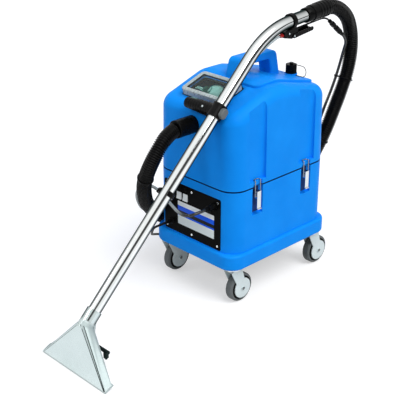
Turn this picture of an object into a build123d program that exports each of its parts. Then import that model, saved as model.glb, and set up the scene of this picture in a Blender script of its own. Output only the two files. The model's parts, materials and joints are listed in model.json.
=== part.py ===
from build123d import *
import math
import os

# A portable carpet cleaner: a two-part blue machine on castors with its floor wand leaning
# on the tank. Millimetres, +Z up. The machine's front face looks along -Y, y = 0 is the front
# face of the body, x = 0 its middle plane and z = 0 the floor. At the end all pieces move so
# that the origin is under the middle of the object.

# Body of the machine
body_width = 358.0
body_depth = 460.0
body_corner = 60.0
shell_wall = 5.0
skirt_step = 11.0
skirt_corner = 52.0
skirt_bottom = 133.0
skirt_top = 187.0
skirt_round = 9.0
seam_height = 403.0
gasket_thickness = 3.0
gasket_inset = 3.0
gasket_width = 9.0

# Roof of the tank, as a side profile
roof_front = 641.0
roof_ridge = 704.0
ridge_front = 186.0
ridge_back = 250.0
roof_back = 655.0
roof_blend = 90.0
roof_edge = 42.0
tank_draft = 1.0
plateau_rise = 8.0
plateau_half_width = 124.0
plateau_front = 164.0
plateau_back = 438.0
plateau_corner = 24.0
plateau_round = 3.0

# Carry handle, an arch along the middle of the roof
handle_width = 56.0
handle_front = 168.0
handle_back = 372.0
handle_top = 768.0
handle_lean = 18.0
handle_grip = 26.0
handle_leg = 44.0
handle_corner = 20.0

# Clear lid on the front slope
lid_offset = -11.0
lid_length = 178.0
lid_breadth = 112.0
lid_middle = 99.0
lid_height = 22.0
lid_wall = 3.0
lid_flange = 2.0
lid_flange_thickness = 4.0
lid_corner = 14.0
mouth_border = 12.0
deflector_radius = 34.0
deflector_wall = 2.5
deflector_offset = 8.0
float_radius = 17.0
cup_offset = -8.0
cup_forward = 14.0
bracket_width = 12.0
bracket_thickness = 3.0

# Filler neck, cap and tether
filler_x = 38.0
filler_y = 418.0
neck_radius = 15.0
neck_bore = 11.0
neck_height = 18.0
neck_seat = 21.0
neck_seat_rise = 6.0
cap_radius = 17.5
cap_height = 30.0
cap_ribs = 24
rib_radius = 1.2
fit_gap = 0.3
stud_radius = 4.0
stud_height = 4.0
stud_head = 1.6
wire_radius = 1.2
tether_reach = 64.0

# Vacuum inlet on the tank's front
inlet_x = -4.0
inlet_height = 591.0
spigot_radius = 24.0
spigot_wall = 3.0
spigot_reach = 34.0
spigot_flange = 32.0
cuff_radius = 29.0
cuff_length = 72.0
cuff_rim = 2.5
tank_corner_depth = 30.0
motor_radius = 82.0
motor_height = 90.0

# Control panel
panel_offset = -4.5
panel_width = 262.0
panel_height = 180.0
panel_bottom = 191.0
panel_thickness = 4.0
panel_recess = 3.0
panel_corner = 7.0
panel_window = 16.0
screw_radius = 4.0
screw_head = 2.2
screw_inset_x = 13.0
screw_inset_z = 14.0
switch_width = 21.0
switch_height = 24.0
switch_gap = 0.4
switch_swing = 0.9
switch_box = 12.0
switch_wall = 2.5
switch_angle = 7.0
switch_pin = 2.0
switch_proud = 3.0
switch_z = 328.0
switch_xs = [-64.0, -35.0]
pin_gap = 0.05
coupler_x = 99.0
coupler_z = 342.0
coupler_radius = 11.0
coupler_length = 40.0
gland_x = -102.0
gland_z = 224.0
gland_radius = 9.0
gland_length = 22.0

# Castors
castor_x = 150.0
castor_inset = 36.0
castor_trail = 27.0
wheel_radius = 50.0
wheel_width = 28.0
tyre_depth = 13.0
tyre_round = 6.0
hub_web = 12.0
hub_boss = 13.0
hub_rim = 4.0
fork_sheet = 3.0
fork_gap = 2.5
fork_width = 46.0
fork_end = 16.0
guard_radius = 35.0
axle_radius = 4.0
axle_head = 7.0
axle_head_height = 4.0
plate_radius = 30.0
plate_thickness = 3.0
race_radius = 24.0
race_height = 7.0
king_pin = 6.0
king_head = 10.0
king_head_height = 4.0
running_gap = 0.4

# Latches, two on each side
latch_from_middle = 117.5
pocket_depth = 12.0
pocket_width = 48.0
pocket_bottom = 306.0
pocket_corner = 5.0
channel_depth = 14.0
channel_width = 76.0
channel_corner = 8.0
ledge_height = 421.0
notch_depth = 6.0
notch_width = 42.0
latch_plate = 2.0
latch_plate_width = 28.0
latch_plate_top = 398.0
latch_plate_bottom = 313.0
lever_pivot = 380.0
lever_tip = 326.0
lever_top = 387.0
lever_width = 17.0
lever_sheet = 2.0
lever_proud = 5.0
lever_flange = 5.0
lever_skirt = 20.0
lever_lip = 4.0
ear_round = 4.4
ear_rise = 1.0
ear_gap = 0.4
pivot_radius = 2.5
bail_drop = 12.0
bail_radius = 1.6
bail_half_width = 11.8
bail_bend = 3.0
bail_round = 6.0

# Wand
wand_x = 106.0
tube_radius = 20.0
tube_wall = 1.5
wand_lean = 44.4
tube_rise = 5.0
tube_bend = 290.0
clamp_to_bend = 303.0
upper_length = 232.0
lean_gap = 0.4
head_width = 298.0
head_depth = 34.0
head_wall = 2.0
head_corner = 5.0
mouth_slope = 25.0
neck_size = 48.0
neck_corner = 20.0
neck_lift = 138.0
neck_tilt = 60.0
lip_ahead = 54.0
collar_radius = 23.5
collar_length = 50.0
collar_sink = 14.0
glide_depth = 6.0
glide_rim = 5.0
glide_lap = 2.0
slip_gap = 0.1

# Fittings on the wand
clamp_wall = 4.0
clamp_length = 46.0
grip_length = 104.0
grip_base = 23.0
grip_tip = 17.0
grip_rings = 9
grip_ring_depth = 1.2
grip_ring_width = 8.5
cap_long = 34.0
cap_short = 24.0
cap_thick = 11.0
valve_along = 112.0
strap_width = 14.0
strap_wall = 4.0
valve_width = 20.0
valve_behind = 42.0
valve_ahead = 22.0
valve_top = 24.5
valve_bottom = 54.0
trigger_along = 2.0
trigger_drop = 48.0
trigger_length = 93.0
trigger_sheet = 2.5
trigger_height = 13.0
trigger_nose = 7.0
trigger_rise = 2.5
valve_chin = 10.0
pivot_pin = 3.0
push_fit_radius = 6.5
push_fit_length = 13.0
line_radius = 4.0
line_clear = 1.0
line_angle = 45.0
clip_along = -293.0
clip_length = 16.0
clip_wall = 5.0
clip_opening = 51.0
hook_reach = 14.0
hook_below = 12.0
cuff_overlap = 27.0
hose_cuff_length = 88.0
hose_cuff_radius = 27.0
jet_spread = 56.0
jet_bar = 6.0
jet_back = 80.0
jet_height = 62.0
jet_length = 20.0
jet_arm = 40.0
jet_inlet = 14.0
whip_radius = 3.0
whip_drop = 31.0
fitting_radius = 9.0
fitting_length = 90.0
fitting_along = 303.0
fitting_below = 50.0
fitting_drop = 43.6

# Hoses
hose_radius = 24.0
hose_valley = 22.0
hose_bore = 19.0
hose_ribs = 180
hose_socket = 34.0
hose_lead = 62.0
cuff_lead = 56.0
solution_radius = 5.0
solution_lead = 40.0
tie_gap = 0.5
tie_wall = 2.5
tie_width = 6.0
tie_spacing = 33.0

# Mains cord, its coil behind the machine, and the plug
cord_radius = 4.0
cord_lead = 26.0
coil_x = -75.0
coil_y = 592.0
coil_layers = 4
layer_quarters = 18
coil_pitch = 8.8
coil_outside = 67.0
coil_lift = 1.6
band_wall = 1.5
band_gap = 0.1
band_width = 12.0
plug_radius = 18.0
plug_length = 36.0
plug_sleeve = 22.0
plug_pin_radius = 2.4
plug_pin_length = 19.0
plug_pin_spacing = 19.0
tail_run = 45.0

pieces = []


def keep(part, label):
    part.label = label
    pieces.append(part)


# Places worked out from the sizes
half_width = body_width / 2
middle_y = body_depth / 2
base_top = seam_height - gasket_thickness / 2
tank_bottom = seam_height + gasket_thickness / 2
slope = math.atan2(roof_ridge - roof_front, ridge_front)
back_slope = math.atan2(roof_ridge - roof_back, body_depth - ridge_back)
latch_ys = [middle_y - latch_from_middle, middle_y + latch_from_middle]
latch_spots = [(side, y) for side in (1, -1) for y in latch_ys]
latch_names = ["right_front", "right_rear", "left_front", "left_rear"]
castor_spots = [(side * castor_x, y) for side in (1, -1) for y in (castor_inset, body_depth - castor_inset)]
castor_names = latch_names


def roof_at(y):
    if y < ridge_front:
        return roof_front + y * math.tan(slope)
    return roof_ridge - max(0.0, y - ridge_back) * math.tan(back_slope)

# Everything under the roof line, which is lowered by the given drop
def under_roof(drop):
    overhang = body_corner
    with BuildPart() as block:
        with BuildSketch(Plane.YZ.offset(-body_width)):
            with BuildLine():
                roof = FilletPolyline(
                    (-overhang, roof_at(-overhang) - drop),
                    (ridge_front, roof_ridge - drop),
                    (ridge_back, roof_ridge - drop),
                    (body_depth + overhang, roof_at(body_depth + overhang) - drop),
                    radius=roof_blend,
                )
                Polyline(roof @ 1, (body_depth + overhang, 0), (-overhang, 0), roof @ 0)
            make_face()
        extrude(amount=2 * body_width)
    return block.part


def roof_rim(part):
    roof_faces = part.faces().filter_by(lambda face: face.normal_at().Z > 0.5)
    edges = roof_faces.edges()
    return [edge for edge in set(edges) if edges.count(edge) == 1]


# The outer shape of the tank, or its inside when drawn in by the wall
def tank_solid(inset, bottom):
    roof = under_roof(inset)
    with BuildPart() as solid:
        with BuildSketch(Plane.XY.offset(bottom)):
            with Locations((0, middle_y)):
                RectangleRounded(body_width - 2 * inset, body_depth - 2 * inset, body_corner - inset)
        extrude(amount=roof_ridge + body_corner - bottom, taper=tank_draft)
        add(roof, mode=Mode.INTERSECT)
        fillet(roof_rim(solid.part), roof_edge - inset)
    return solid.part


# Raised middle of the roof, which carries the handle and the filler neck
plateau_roof = under_roof(-plateau_rise)
with BuildPart() as plateau:
    with BuildSketch(Plane.XY.offset(tank_bottom)):
        with Locations((0, (plateau_front + plateau_back) / 2)):
            RectangleRounded(2 * plateau_half_width, plateau_back - plateau_front, plateau_corner)
    extrude(amount=roof_ridge)
    add(plateau_roof, mode=Mode.INTERSECT)
    fillet(roof_rim(plateau.part), plateau_round)

# Inside of the tank, which leaves walls round the latch channels
tank_inside = tank_solid(shell_wall, tank_bottom + shell_wall)
with BuildPart() as tank_cavity:
    add(tank_inside)
    for side, y in latch_spots:
        with BuildSketch(Plane.XY.offset(tank_bottom)):
            with Locations((side * half_width, y)):
                Rectangle(2 * (channel_depth + shell_wall), channel_width + 2 * shell_wall)
    extrude(amount=roof_ridge, mode=Mode.SUBTRACT)

# The front slope, with the lid's middle as its origin and its normal out of the roof
lid_plane = Plane(
    origin=(lid_offset, lid_middle, roof_at(lid_middle)),
    x_dir=(1, 0, 0),
    z_dir=(0, -math.sin(slope), math.cos(slope)),
)
mouth_length = lid_length - 2 * mouth_border
mouth_breadth = lid_breadth - 2 * mouth_border
roof_thickness = shell_wall * math.cos(slope)
neck_base = roof_at(filler_y) + plateau_rise
seat_height = neck_base + neck_seat_rise
inlet_plane = Plane.XZ.offset(-tank_corner_depth)

# Recovery tank: hollow, with the lid's mouth, latch channels and ledges, inlet hole and neck
tank_outside = tank_solid(0, tank_bottom)
with BuildPart() as recovery_tank:
    add(tank_outside)
    add(plateau.part)
    add(tank_cavity.part, mode=Mode.SUBTRACT)
    for side, y in latch_spots:
        with BuildSketch(Plane.XY.offset(ledge_height)):
            with Locations((side * half_width, y)):
                RectangleRounded(2 * channel_depth, channel_width, channel_corner)
    extrude(amount=roof_ridge, mode=Mode.SUBTRACT)
    for side, y in latch_spots:
        with BuildSketch(Plane.XY.offset(tank_bottom)):
            with Locations((side * half_width, y)):
                Rectangle(2 * notch_depth, notch_width)
    extrude(amount=ledge_height - tank_bottom, mode=Mode.SUBTRACT)
    with BuildSketch(lid_plane.offset(-4 * shell_wall)):
        RectangleRounded(mouth_length, mouth_breadth, lid_corner - lid_wall)
    extrude(amount=8 * shell_wall, mode=Mode.SUBTRACT)
    with BuildSketch(inlet_plane):
        with Locations((inlet_x, inlet_height)):
            Circle(spigot_radius + slip_gap)
    extrude(amount=2 * tank_corner_depth, mode=Mode.SUBTRACT)
    with BuildSketch(Plane.XY.offset(neck_base - 2 * neck_seat_rise)):
        with Locations((filler_x, filler_y)):
            Circle(neck_seat)
    extrude(amount=3 * neck_seat_rise)
    with BuildSketch(Plane.XY.offset(seat_height)):
        with Locations((filler_x, filler_y)):
            Circle(neck_radius)
    extrude(amount=neck_height)
    with BuildSketch(Plane.XY.offset(neck_base - 4 * neck_seat_rise)):
        with Locations((filler_x, filler_y)):
            Circle(neck_bore)
    extrude(amount=neck_height + 8 * neck_seat_rise, mode=Mode.SUBTRACT)
keep(recovery_tank.part, "recovery_tank")

# Gasket between the two halves
with BuildPart() as tank_gasket:
    with BuildSketch(Plane.XY.offset(base_top)):
        with Locations((0, middle_y)):
            RectangleRounded(
                body_width - 2 * gasket_inset,
                body_depth - 2 * gasket_inset,
                body_corner - gasket_inset,
            )
            RectangleRounded(
                body_width - 2 * gasket_inset - 2 * gasket_width,
                body_depth - 2 * gasket_inset - 2 * gasket_width,
                body_corner - gasket_inset - gasket_width,
                mode=Mode.SUBTRACT,
            )
        for side, y in latch_spots:
            with Locations((side * half_width, y)):
                Rectangle(2 * pocket_depth, pocket_width, mode=Mode.SUBTRACT)
    extrude(amount=gasket_thickness)
keep(tank_gasket.part, "tank_gasket")

# Carry handle, cut to the roof that it stands on
with BuildPart() as carry_handle:
    with BuildSketch(Plane.YZ.offset(-handle_width / 2)):
        with BuildLine():
            arch = FilletPolyline(
                (handle_front, seam_height + roof_edge),
                (handle_front, roof_ridge),
                (handle_front + handle_lean, handle_top),
                (handle_back - handle_lean, handle_top),
                (handle_back, roof_ridge - handle_lean),
                (handle_back, seam_height + roof_edge),
                radius=handle_corner,
            )
            Line(arch @ 1, arch @ 0)
        make_face()
        with BuildLine():
            hollow = FilletPolyline(
                (handle_front + handle_leg, seam_height),
                (handle_front + handle_leg, roof_ridge),
                (handle_front + handle_leg + handle_lean / 2, handle_top - handle_grip),
                (handle_back - handle_leg - handle_lean / 2, handle_top - handle_grip),
                (handle_back - handle_leg, roof_ridge),
                (handle_back - handle_leg, seam_height),
                radius=handle_corner / 2,
            )
            Line(hollow @ 1, hollow @ 0)
        make_face(mode=Mode.SUBTRACT)
    extrude(amount=handle_width)
    side_faces = carry_handle.faces().filter_by(Axis.X)
    fillet([edge for edge in side_faces.edges() if edge.center().Z > roof_back], handle_corner / 3)
    add(plateau.part, mode=Mode.SUBTRACT)
keep(carry_handle.part, "carry_handle")

# Clear lid: a shallow box with a flange, open below
with BuildPart() as clear_lid:
    with BuildSketch(lid_plane):
        RectangleRounded(lid_length, lid_breadth, lid_corner)
    extrude(amount=lid_flange_thickness)
    with BuildSketch(lid_plane):
        RectangleRounded(lid_length - 2 * lid_flange, lid_breadth - 2 * lid_flange, lid_corner)
    extrude(amount=lid_height)
    with BuildSketch(lid_plane):
        RectangleRounded(
            lid_length - 2 * lid_flange - 2 * lid_wall,
            lid_breadth - 2 * lid_flange - 2 * lid_wall,
            lid_corner - lid_wall,
        )
    extrude(amount=lid_height - lid_wall, mode=Mode.SUBTRACT)
keep(clear_lid.part, "clear_lid")

# Deflector: a spherical scoop and a float's cage on a bar that hangs under the mouth
bar_plane = lid_plane.offset(-roof_thickness)
scoop_height = roof_thickness + lid_height - 2 * lid_wall
scoop_ball = (deflector_radius**2 + scoop_height**2) / (2 * scoop_height)
scoop_middle = bar_plane.offset(scoop_height - scoop_ball).origin + Vector(deflector_offset, 0, 0)
with BuildPart() as inlet_deflector:
    with Locations(Location(scoop_middle)):
        Sphere(scoop_ball)
        Sphere(scoop_ball - deflector_wall, mode=Mode.SUBTRACT)
    split(bisect_by=bar_plane, keep=Keep.TOP)
    scoop_edge = deflector_offset - deflector_radius / 3
    scoop_cut = Plane(bar_plane.origin + Vector(scoop_edge, 0, 0), z_dir=(1, 0, 0))
    split(bisect_by=scoop_cut, keep=Keep.TOP)
    with BuildSketch(bar_plane):
        Rectangle(mouth_length + 2 * bracket_width, bracket_width)
        with Locations((deflector_offset, 0)):
            Rectangle(bracket_width, 2 * deflector_radius)
    extrude(amount=-bracket_thickness)
    with BuildSketch(bar_plane):
        with Locations((cup_offset, -cup_forward)):
            Circle(float_radius)
            Circle(float_radius - deflector_wall, mode=Mode.SUBTRACT)
    extrude(amount=scoop_height - lid_wall)
keep(inlet_deflector.part, "inlet_deflector")

# Filler cap: a ribbed cup over the neck, with a stud for the tether's ring
cap_bottom = seat_height + fit_gap
cap_top = cap_bottom + cap_height
with BuildPart() as filler_cap:
    with BuildSketch(Plane.XY.offset(cap_bottom)):
        with Locations((filler_x, filler_y)):
            Circle(cap_radius)
            with PolarLocations(cap_radius, cap_ribs):
                Circle(rib_radius)
    extrude(amount=cap_height)
    with BuildSketch(Plane.XY.offset(cap_bottom)):
        with Locations((filler_x, filler_y)):
            Circle(neck_radius + fit_gap)
    extrude(amount=neck_height + fit_gap, mode=Mode.SUBTRACT)
    with BuildSketch(Plane.XY.offset(cap_top)):
        with Locations((filler_x, filler_y)):
            Circle(stud_radius)
    extrude(amount=stud_height)
    with BuildSketch(Plane.XY.offset(cap_top + stud_height)):
        with Locations((filler_x, filler_y)):
            Circle(stud_radius + 2 * wire_radius)
    extrude(amount=stud_head)
keep(filler_cap.part, "filler_cap")

# Wire tether: a ring round the stud and a loop back to the neck's seat
ring_height = cap_top + wire_radius + fit_gap
ring_radius = stud_radius + wire_radius + fit_gap
tether_low = neck_base + wire_radius + 2 * fit_gap
with BuildPart() as cap_tether:
    with Locations((filler_x, filler_y, ring_height)):
        Torus(ring_radius, wire_radius)
    with BuildLine() as tether_line:
        FilletPolyline(
            (filler_x + ring_radius, filler_y, ring_height),
            (filler_x + tether_reach, filler_y, ring_height),
            (filler_x + tether_reach, filler_y, tether_low),
            (filler_x + neck_seat, filler_y, tether_low),
            radius=(ring_height - tether_low) / 2 - wire_radius,
        )
    with BuildSketch(Plane(tether_line.line @ 0, z_dir=tether_line.line % 0)):
        Circle(wire_radius)
    sweep(path=tether_line.line)
keep(cap_tether.part, "cap_tether")

# Vacuum inlet: a spigot through the tank's front wall and the hose's cuff on it
front_setback = math.tan(math.radians(tank_draft)) * (inlet_height - cuff_radius - tank_bottom)
wall_inside = front_setback + shell_wall + shell_wall * math.tan(math.radians(tank_draft)) + slip_gap
with BuildPart() as hose_inlet:
    with BuildSketch(Plane.XZ.offset(spigot_reach)):
        with Locations((inlet_x, inlet_height)):
            Circle(spigot_radius)
            Circle(spigot_radius - spigot_wall, mode=Mode.SUBTRACT)
    extrude(amount=-(spigot_reach + wall_inside + 2 * spigot_wall))
    with BuildSketch(Plane.XZ.offset(-wall_inside - 2 * spigot_wall)):
        with Locations((inlet_x, inlet_height)):
            Circle(spigot_flange)
            Circle(spigot_radius - spigot_wall, mode=Mode.SUBTRACT)
    extrude(amount=spigot_wall)
keep(hose_inlet.part, "hose_inlet")

with BuildPart() as inlet_cuff:
    with BuildSketch(Plane.XZ.offset(-front_setback + slip_gap)):
        with Locations((inlet_x, inlet_height)):
            Circle(cuff_radius)
    extrude(amount=cuff_length + front_setback - slip_gap)
    fillet(inlet_cuff.edges().sort_by(Axis.Y)[0], cuff_rim)
    with BuildSketch(Plane.XZ.offset(-front_setback)):
        with Locations((inlet_x, inlet_height)):
            Circle(spigot_radius + slip_gap)
    extrude(amount=spigot_reach + front_setback + slip_gap, mode=Mode.SUBTRACT)
    with BuildSketch(Plane.XZ.offset(cuff_length)):
        with Locations((inlet_x, inlet_height)):
            Circle(hose_bore)
    extrude(amount=-cuff_length, mode=Mode.SUBTRACT)
keep(inlet_cuff.part, "inlet_cuff")

# Motor on the floor of the lower housing
with BuildPart() as vacuum_motor:
    with BuildSketch(Plane.XY.offset(skirt_bottom + shell_wall)):
        with Locations((0, middle_y)):
            Circle(motor_radius)
    extrude(amount=motor_height)
    with BuildSketch(Plane.XY.offset(skirt_bottom + shell_wall + motor_height)):
        with Locations((0, middle_y)):
            Circle(motor_radius * 2 / 3)
    extrude(amount=motor_height / 2)
keep(vacuum_motor.part, "vacuum_motor")

# Lower housing: a hollow blue shell with a skirt, open at the top under the tank
with BuildPart() as base_housing:
    with BuildSketch(Plane.XY.offset(skirt_bottom)):
        with Locations((0, middle_y)):
            RectangleRounded(body_width, body_depth, body_corner)
    extrude(amount=base_top - skirt_bottom)
    with BuildSketch(Plane.XY.offset(skirt_bottom)):
        with Locations((0, middle_y)):
            RectangleRounded(
                body_width + 2 * skirt_step,
                body_depth + 2 * skirt_step,
                skirt_corner,
            )
    extrude(amount=skirt_top - skirt_bottom)
    skirt_edges = base_housing.faces().sort_by(Axis.Z)[0].outer_wire().edges()
    fillet(skirt_edges, skirt_round)
    step_face = base_housing.faces().filter_by(Axis.Z).sort_by(Axis.Z)[1]
    fillet(step_face.outer_wire().edges(), skirt_round)
    with BuildSketch(Plane.XY.offset(skirt_bottom + shell_wall)):
        with Locations((0, middle_y)):
            RectangleRounded(
                body_width - 2 * shell_wall,
                body_depth - 2 * shell_wall,
                body_corner - shell_wall,
            )
    extrude(amount=base_top - skirt_bottom, mode=Mode.SUBTRACT)
    # Walls round the four latch pockets, then the pockets
    for side, y in latch_spots:
        with BuildSketch(Plane.XY.offset(pocket_bottom - shell_wall)):
            with Locations((side * (half_width - (pocket_depth + shell_wall) / 2), y)):
                Rectangle(pocket_depth + shell_wall, pocket_width + 2 * shell_wall)
    extrude(amount=base_top - pocket_bottom + shell_wall)
    for side, y in latch_spots:
        with BuildSketch(Plane.XY.offset(pocket_bottom)):
            with Locations((side * half_width, y)):
                RectangleRounded(2 * pocket_depth, pocket_width, pocket_corner)
    extrude(amount=seam_height, mode=Mode.SUBTRACT)
    # Recess and window for the control panel
    with BuildSketch(Plane.XZ):
        with Locations((panel_offset, panel_bottom + panel_height / 2)):
            RectangleRounded(panel_width, panel_height, panel_corner)
    extrude(amount=-panel_recess, mode=Mode.SUBTRACT)
    with BuildSketch(Plane.XZ):
        with Locations((panel_offset, panel_bottom + panel_height / 2)):
            Rectangle(panel_width - 2 * panel_window, panel_height - 2 * panel_window)
    extrude(amount=-2 * shell_wall, mode=Mode.SUBTRACT)
keep(base_housing.part, "base_housing")

# Control panel: a plate with boxes behind it for the two rocker switches
panel_middle = panel_bottom + panel_height / 2
panel_face = panel_thickness - panel_recess
switch_pivot = panel_recess
screw_columns = panel_width / 2 - screw_inset_x
screw_rows = panel_height / 2 - screw_inset_z
screw_spots = [
    (panel_offset + column * screw_columns, panel_middle + row * screw_rows)
    for column in (-1, 0, 1)
    for row in (-1, 1)
]
window_width = switch_width + 2 * switch_gap
window_height = switch_height + 2 * switch_swing
with BuildPart() as control_panel:
    with BuildSketch(Plane.XZ.offset(-panel_recess)):
        with Locations((panel_offset, panel_middle)):
            RectangleRounded(panel_width - 2 * slip_gap, panel_height - 2 * slip_gap, panel_corner)
    extrude(amount=panel_thickness)
    with BuildSketch(Plane.XZ.offset(-panel_recess)):
        for x in switch_xs:
            with Locations((x, switch_z)):
                Rectangle(window_width + 2 * switch_wall, window_height + 2 * switch_wall)
    extrude(amount=-switch_box)
    with BuildSketch(Plane.XZ.offset(panel_face)):
        for x in switch_xs:
            with Locations((x, switch_z)):
                Rectangle(window_width, window_height)
    extrude(amount=-2 * switch_box, mode=Mode.SUBTRACT)
    for x in switch_xs:
        with Locations(Location((x, switch_pivot, switch_z), (0, 90, 0))):
            Cylinder(switch_pin + pin_gap, window_width + 2 * switch_wall, mode=Mode.SUBTRACT)
    with BuildSketch(Plane.XZ.offset(panel_face)):
        with Locations((coupler_x, coupler_z)):
            Circle(coupler_radius / 2 + slip_gap)
        with Locations((gland_x, gland_z)):
            Circle(gland_radius / 2 + slip_gap)
    extrude(amount=-2 * panel_thickness, mode=Mode.SUBTRACT)
keep(control_panel.part, "control_panel")

with BuildPart() as panel_screws:
    with BuildSketch(Plane.XZ.offset(panel_face)):
        with Locations(*screw_spots):
            Circle(screw_radius)
    extrude(amount=screw_head)
    fillet(panel_screws.faces().filter_by(Axis.Y).sort_by(Axis.Y)[0:6].edges(), screw_head / 3)
keep(panel_screws.part, "panel_screws")

# Rocker switches, resting with their lower half pressed
for x, switch_name in zip(switch_xs, ["pump_switch", "vacuum_switch"]):
    tilt = math.radians(switch_angle)
    rocker_plane = Plane(
        origin=(x, switch_pivot, switch_z),
        x_dir=(0, math.cos(tilt), -math.sin(tilt)),
        z_dir=(1, 0, 0),
    )
    front = -switch_pivot - panel_face - switch_proud
    dish = front + switch_height / 2 * math.tan(tilt)
    with BuildPart() as rocker:
        with BuildSketch(rocker_plane.offset(-switch_width / 2)):
            with BuildLine():
                Polyline(
                    (front, switch_height / 2),
                    (dish, 0),
                    (front, -switch_height / 2),
                    (0, -switch_height / 2),
                    (switch_box - 2 * switch_wall, -switch_wall),
                    (switch_box - 2 * switch_wall, switch_wall),
                    (0, switch_height / 2),
                    close=True,
                )
            make_face()
        extrude(amount=switch_width)
        with BuildSketch(rocker_plane.offset(-window_width / 2 - switch_wall)):
            Circle(switch_pin)
        extrude(amount=window_width + 2 * switch_wall)
    keep(rocker.part, switch_name)

# Solution coupler on the panel
with BuildPart() as solution_coupler:
    with BuildSketch(Plane.XZ.offset(-2 * panel_recess)):
        with Locations((coupler_x, coupler_z)):
            Circle(coupler_radius / 2)
    extrude(amount=2 * panel_recess + panel_face)
    with BuildSketch(Plane.XZ.offset(panel_face)):
        with Locations((coupler_x, coupler_z)):
            RegularPolygon(coupler_radius * 1.2, 6)
    extrude(amount=coupler_length / 4)
    with BuildSketch(Plane.XZ.offset(panel_face)):
        with Locations((coupler_x, coupler_z)):
            Circle(coupler_radius)
    extrude(amount=coupler_length * 3 / 4)
    with BuildSketch(Plane.XZ.offset(panel_face)):
        with Locations((coupler_x, coupler_z)):
            Circle(coupler_radius * 2 / 3)
    extrude(amount=coupler_length)
keep(solution_coupler.part, "solution_coupler")

# Strain relief where the mains cord leaves the panel
with BuildPart() as cord_gland:
    with BuildSketch(Plane.XZ.offset(-2 * panel_recess)):
        with Locations((gland_x, gland_z)):
            Circle(gland_radius / 2)
    extrude(amount=2 * panel_recess + panel_face)
    with BuildSketch(Plane.XZ.offset(panel_face)):
        with Locations((gland_x, gland_z)):
            Circle(gland_radius * 5 / 4)
    extrude(amount=gland_length / 6)
    with BuildSketch(Plane.XZ.offset(panel_face)):
        with Locations((gland_x, gland_z)):
            Circle(gland_radius)
    with BuildSketch(Plane.XZ.offset(panel_face + gland_length)):
        with Locations((gland_x, gland_z)):
            Circle(cord_radius * 3 / 2)
    loft()
keep(cord_gland.part, "cord_gland")

# Castor plates with their races and king pins
fork_top = skirt_bottom - plate_thickness - race_height - running_gap
king_bottom = fork_top - fork_sheet - running_gap - king_head_height
leg_inside = wheel_width / 2 + fork_gap
leg_outside = leg_inside + fork_sheet
with BuildPart() as castor_plates:
    with BuildSketch(Plane.XY.offset(skirt_bottom)):
        with Locations(*castor_spots):
            Circle(plate_radius)
    extrude(amount=-plate_thickness)
    with BuildSketch(Plane.XY.offset(fork_top + running_gap)):
        with Locations(*castor_spots):
            Circle(race_radius)
    extrude(amount=race_height)
    with BuildSketch(Plane.XY.offset(king_bottom)):
        with Locations(*castor_spots):
            Circle(king_pin)
    extrude(amount=skirt_bottom - plate_thickness - king_bottom)
    with BuildSketch(Plane.XY.offset(king_bottom)):
        with Locations(*castor_spots):
            Circle(king_head)
    extrude(amount=king_head_height)
keep(castor_plates.part, "castor_plates")

for (stem_x, stem_y), castor_name in zip(castor_spots, castor_names):
    axle_y = stem_y + castor_trail
    with BuildPart() as fork:
        for side in (1, -1):
            with BuildSketch(Plane.YZ.offset(stem_x + side * leg_inside)):
                with Locations((axle_y, wheel_radius)):
                    Circle(fork_end)
                with Locations((stem_y, fork_top - fork_sheet)):
                    Rectangle(fork_width, 2 * fork_sheet)
                make_hull()
                with Locations((axle_y, wheel_radius)):
                    Circle(guard_radius)
            extrude(amount=side * fork_sheet)
        with BuildSketch(Plane.XY.offset(fork_top)):
            with Locations((stem_x, stem_y)):
                Rectangle(2 * leg_outside, fork_width)
        extrude(amount=-fork_sheet)
        with BuildSketch(Plane.XY.offset(fork_top)):
            with Locations((stem_x, stem_y)):
                Circle(king_pin + pin_gap)
        extrude(amount=-fork_sheet, mode=Mode.SUBTRACT)
        with BuildSketch(Plane.YZ.offset(stem_x - leg_outside)):
            with Locations((axle_y, wheel_radius)):
                Circle(axle_radius)
        extrude(amount=2 * leg_outside)
        for side in (1, -1):
            with BuildSketch(Plane.YZ.offset(stem_x + side * leg_outside)):
                with Locations((axle_y, wheel_radius)):
                    RegularPolygon(axle_head, 6)
            extrude(amount=side * axle_head_height)
    keep(fork.part, f"castor_fork_{castor_name}")

    with BuildPart() as hub:
        rim_radius = wheel_radius - tyre_depth
        with BuildSketch(Plane.YZ.offset(stem_x)):
            with Locations((axle_y, wheel_radius)):
                Circle(rim_radius)
        extrude(amount=hub_web / 2, both=True)
        with BuildSketch(Plane.YZ.offset(stem_x)):
            with Locations((axle_y, wheel_radius)):
                Circle(rim_radius)
                Circle(rim_radius - hub_rim, mode=Mode.SUBTRACT)
        extrude(amount=wheel_width / 2 - tyre_round / 2, both=True)
        with BuildSketch(Plane.YZ.offset(stem_x)):
            with Locations((axle_y, wheel_radius)):
                Circle(hub_boss)
        extrude(amount=leg_inside - running_gap, both=True)
        with BuildSketch(Plane.YZ.offset(stem_x)):
            with Locations((axle_y, wheel_radius)):
                Circle(axle_radius + pin_gap)
        extrude(amount=leg_inside, both=True, mode=Mode.SUBTRACT)
    keep(hub.part, f"castor_hub_{castor_name}")

    with BuildPart() as tyre:
        with BuildSketch(Plane.YZ.offset(stem_x)):
            with Locations((axle_y, wheel_radius)):
                Circle(wheel_radius)
        extrude(amount=wheel_width / 2, both=True)
        fillet(tyre.edges(), tyre_round)
        with BuildSketch(Plane.YZ.offset(stem_x)):
            with Locations((axle_y, wheel_radius)):
                Circle(rim_radius)
        extrude(amount=wheel_width / 2, both=True, mode=Mode.SUBTRACT)
    keep(tyre.part, f"castor_tyre_{castor_name}")

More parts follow.
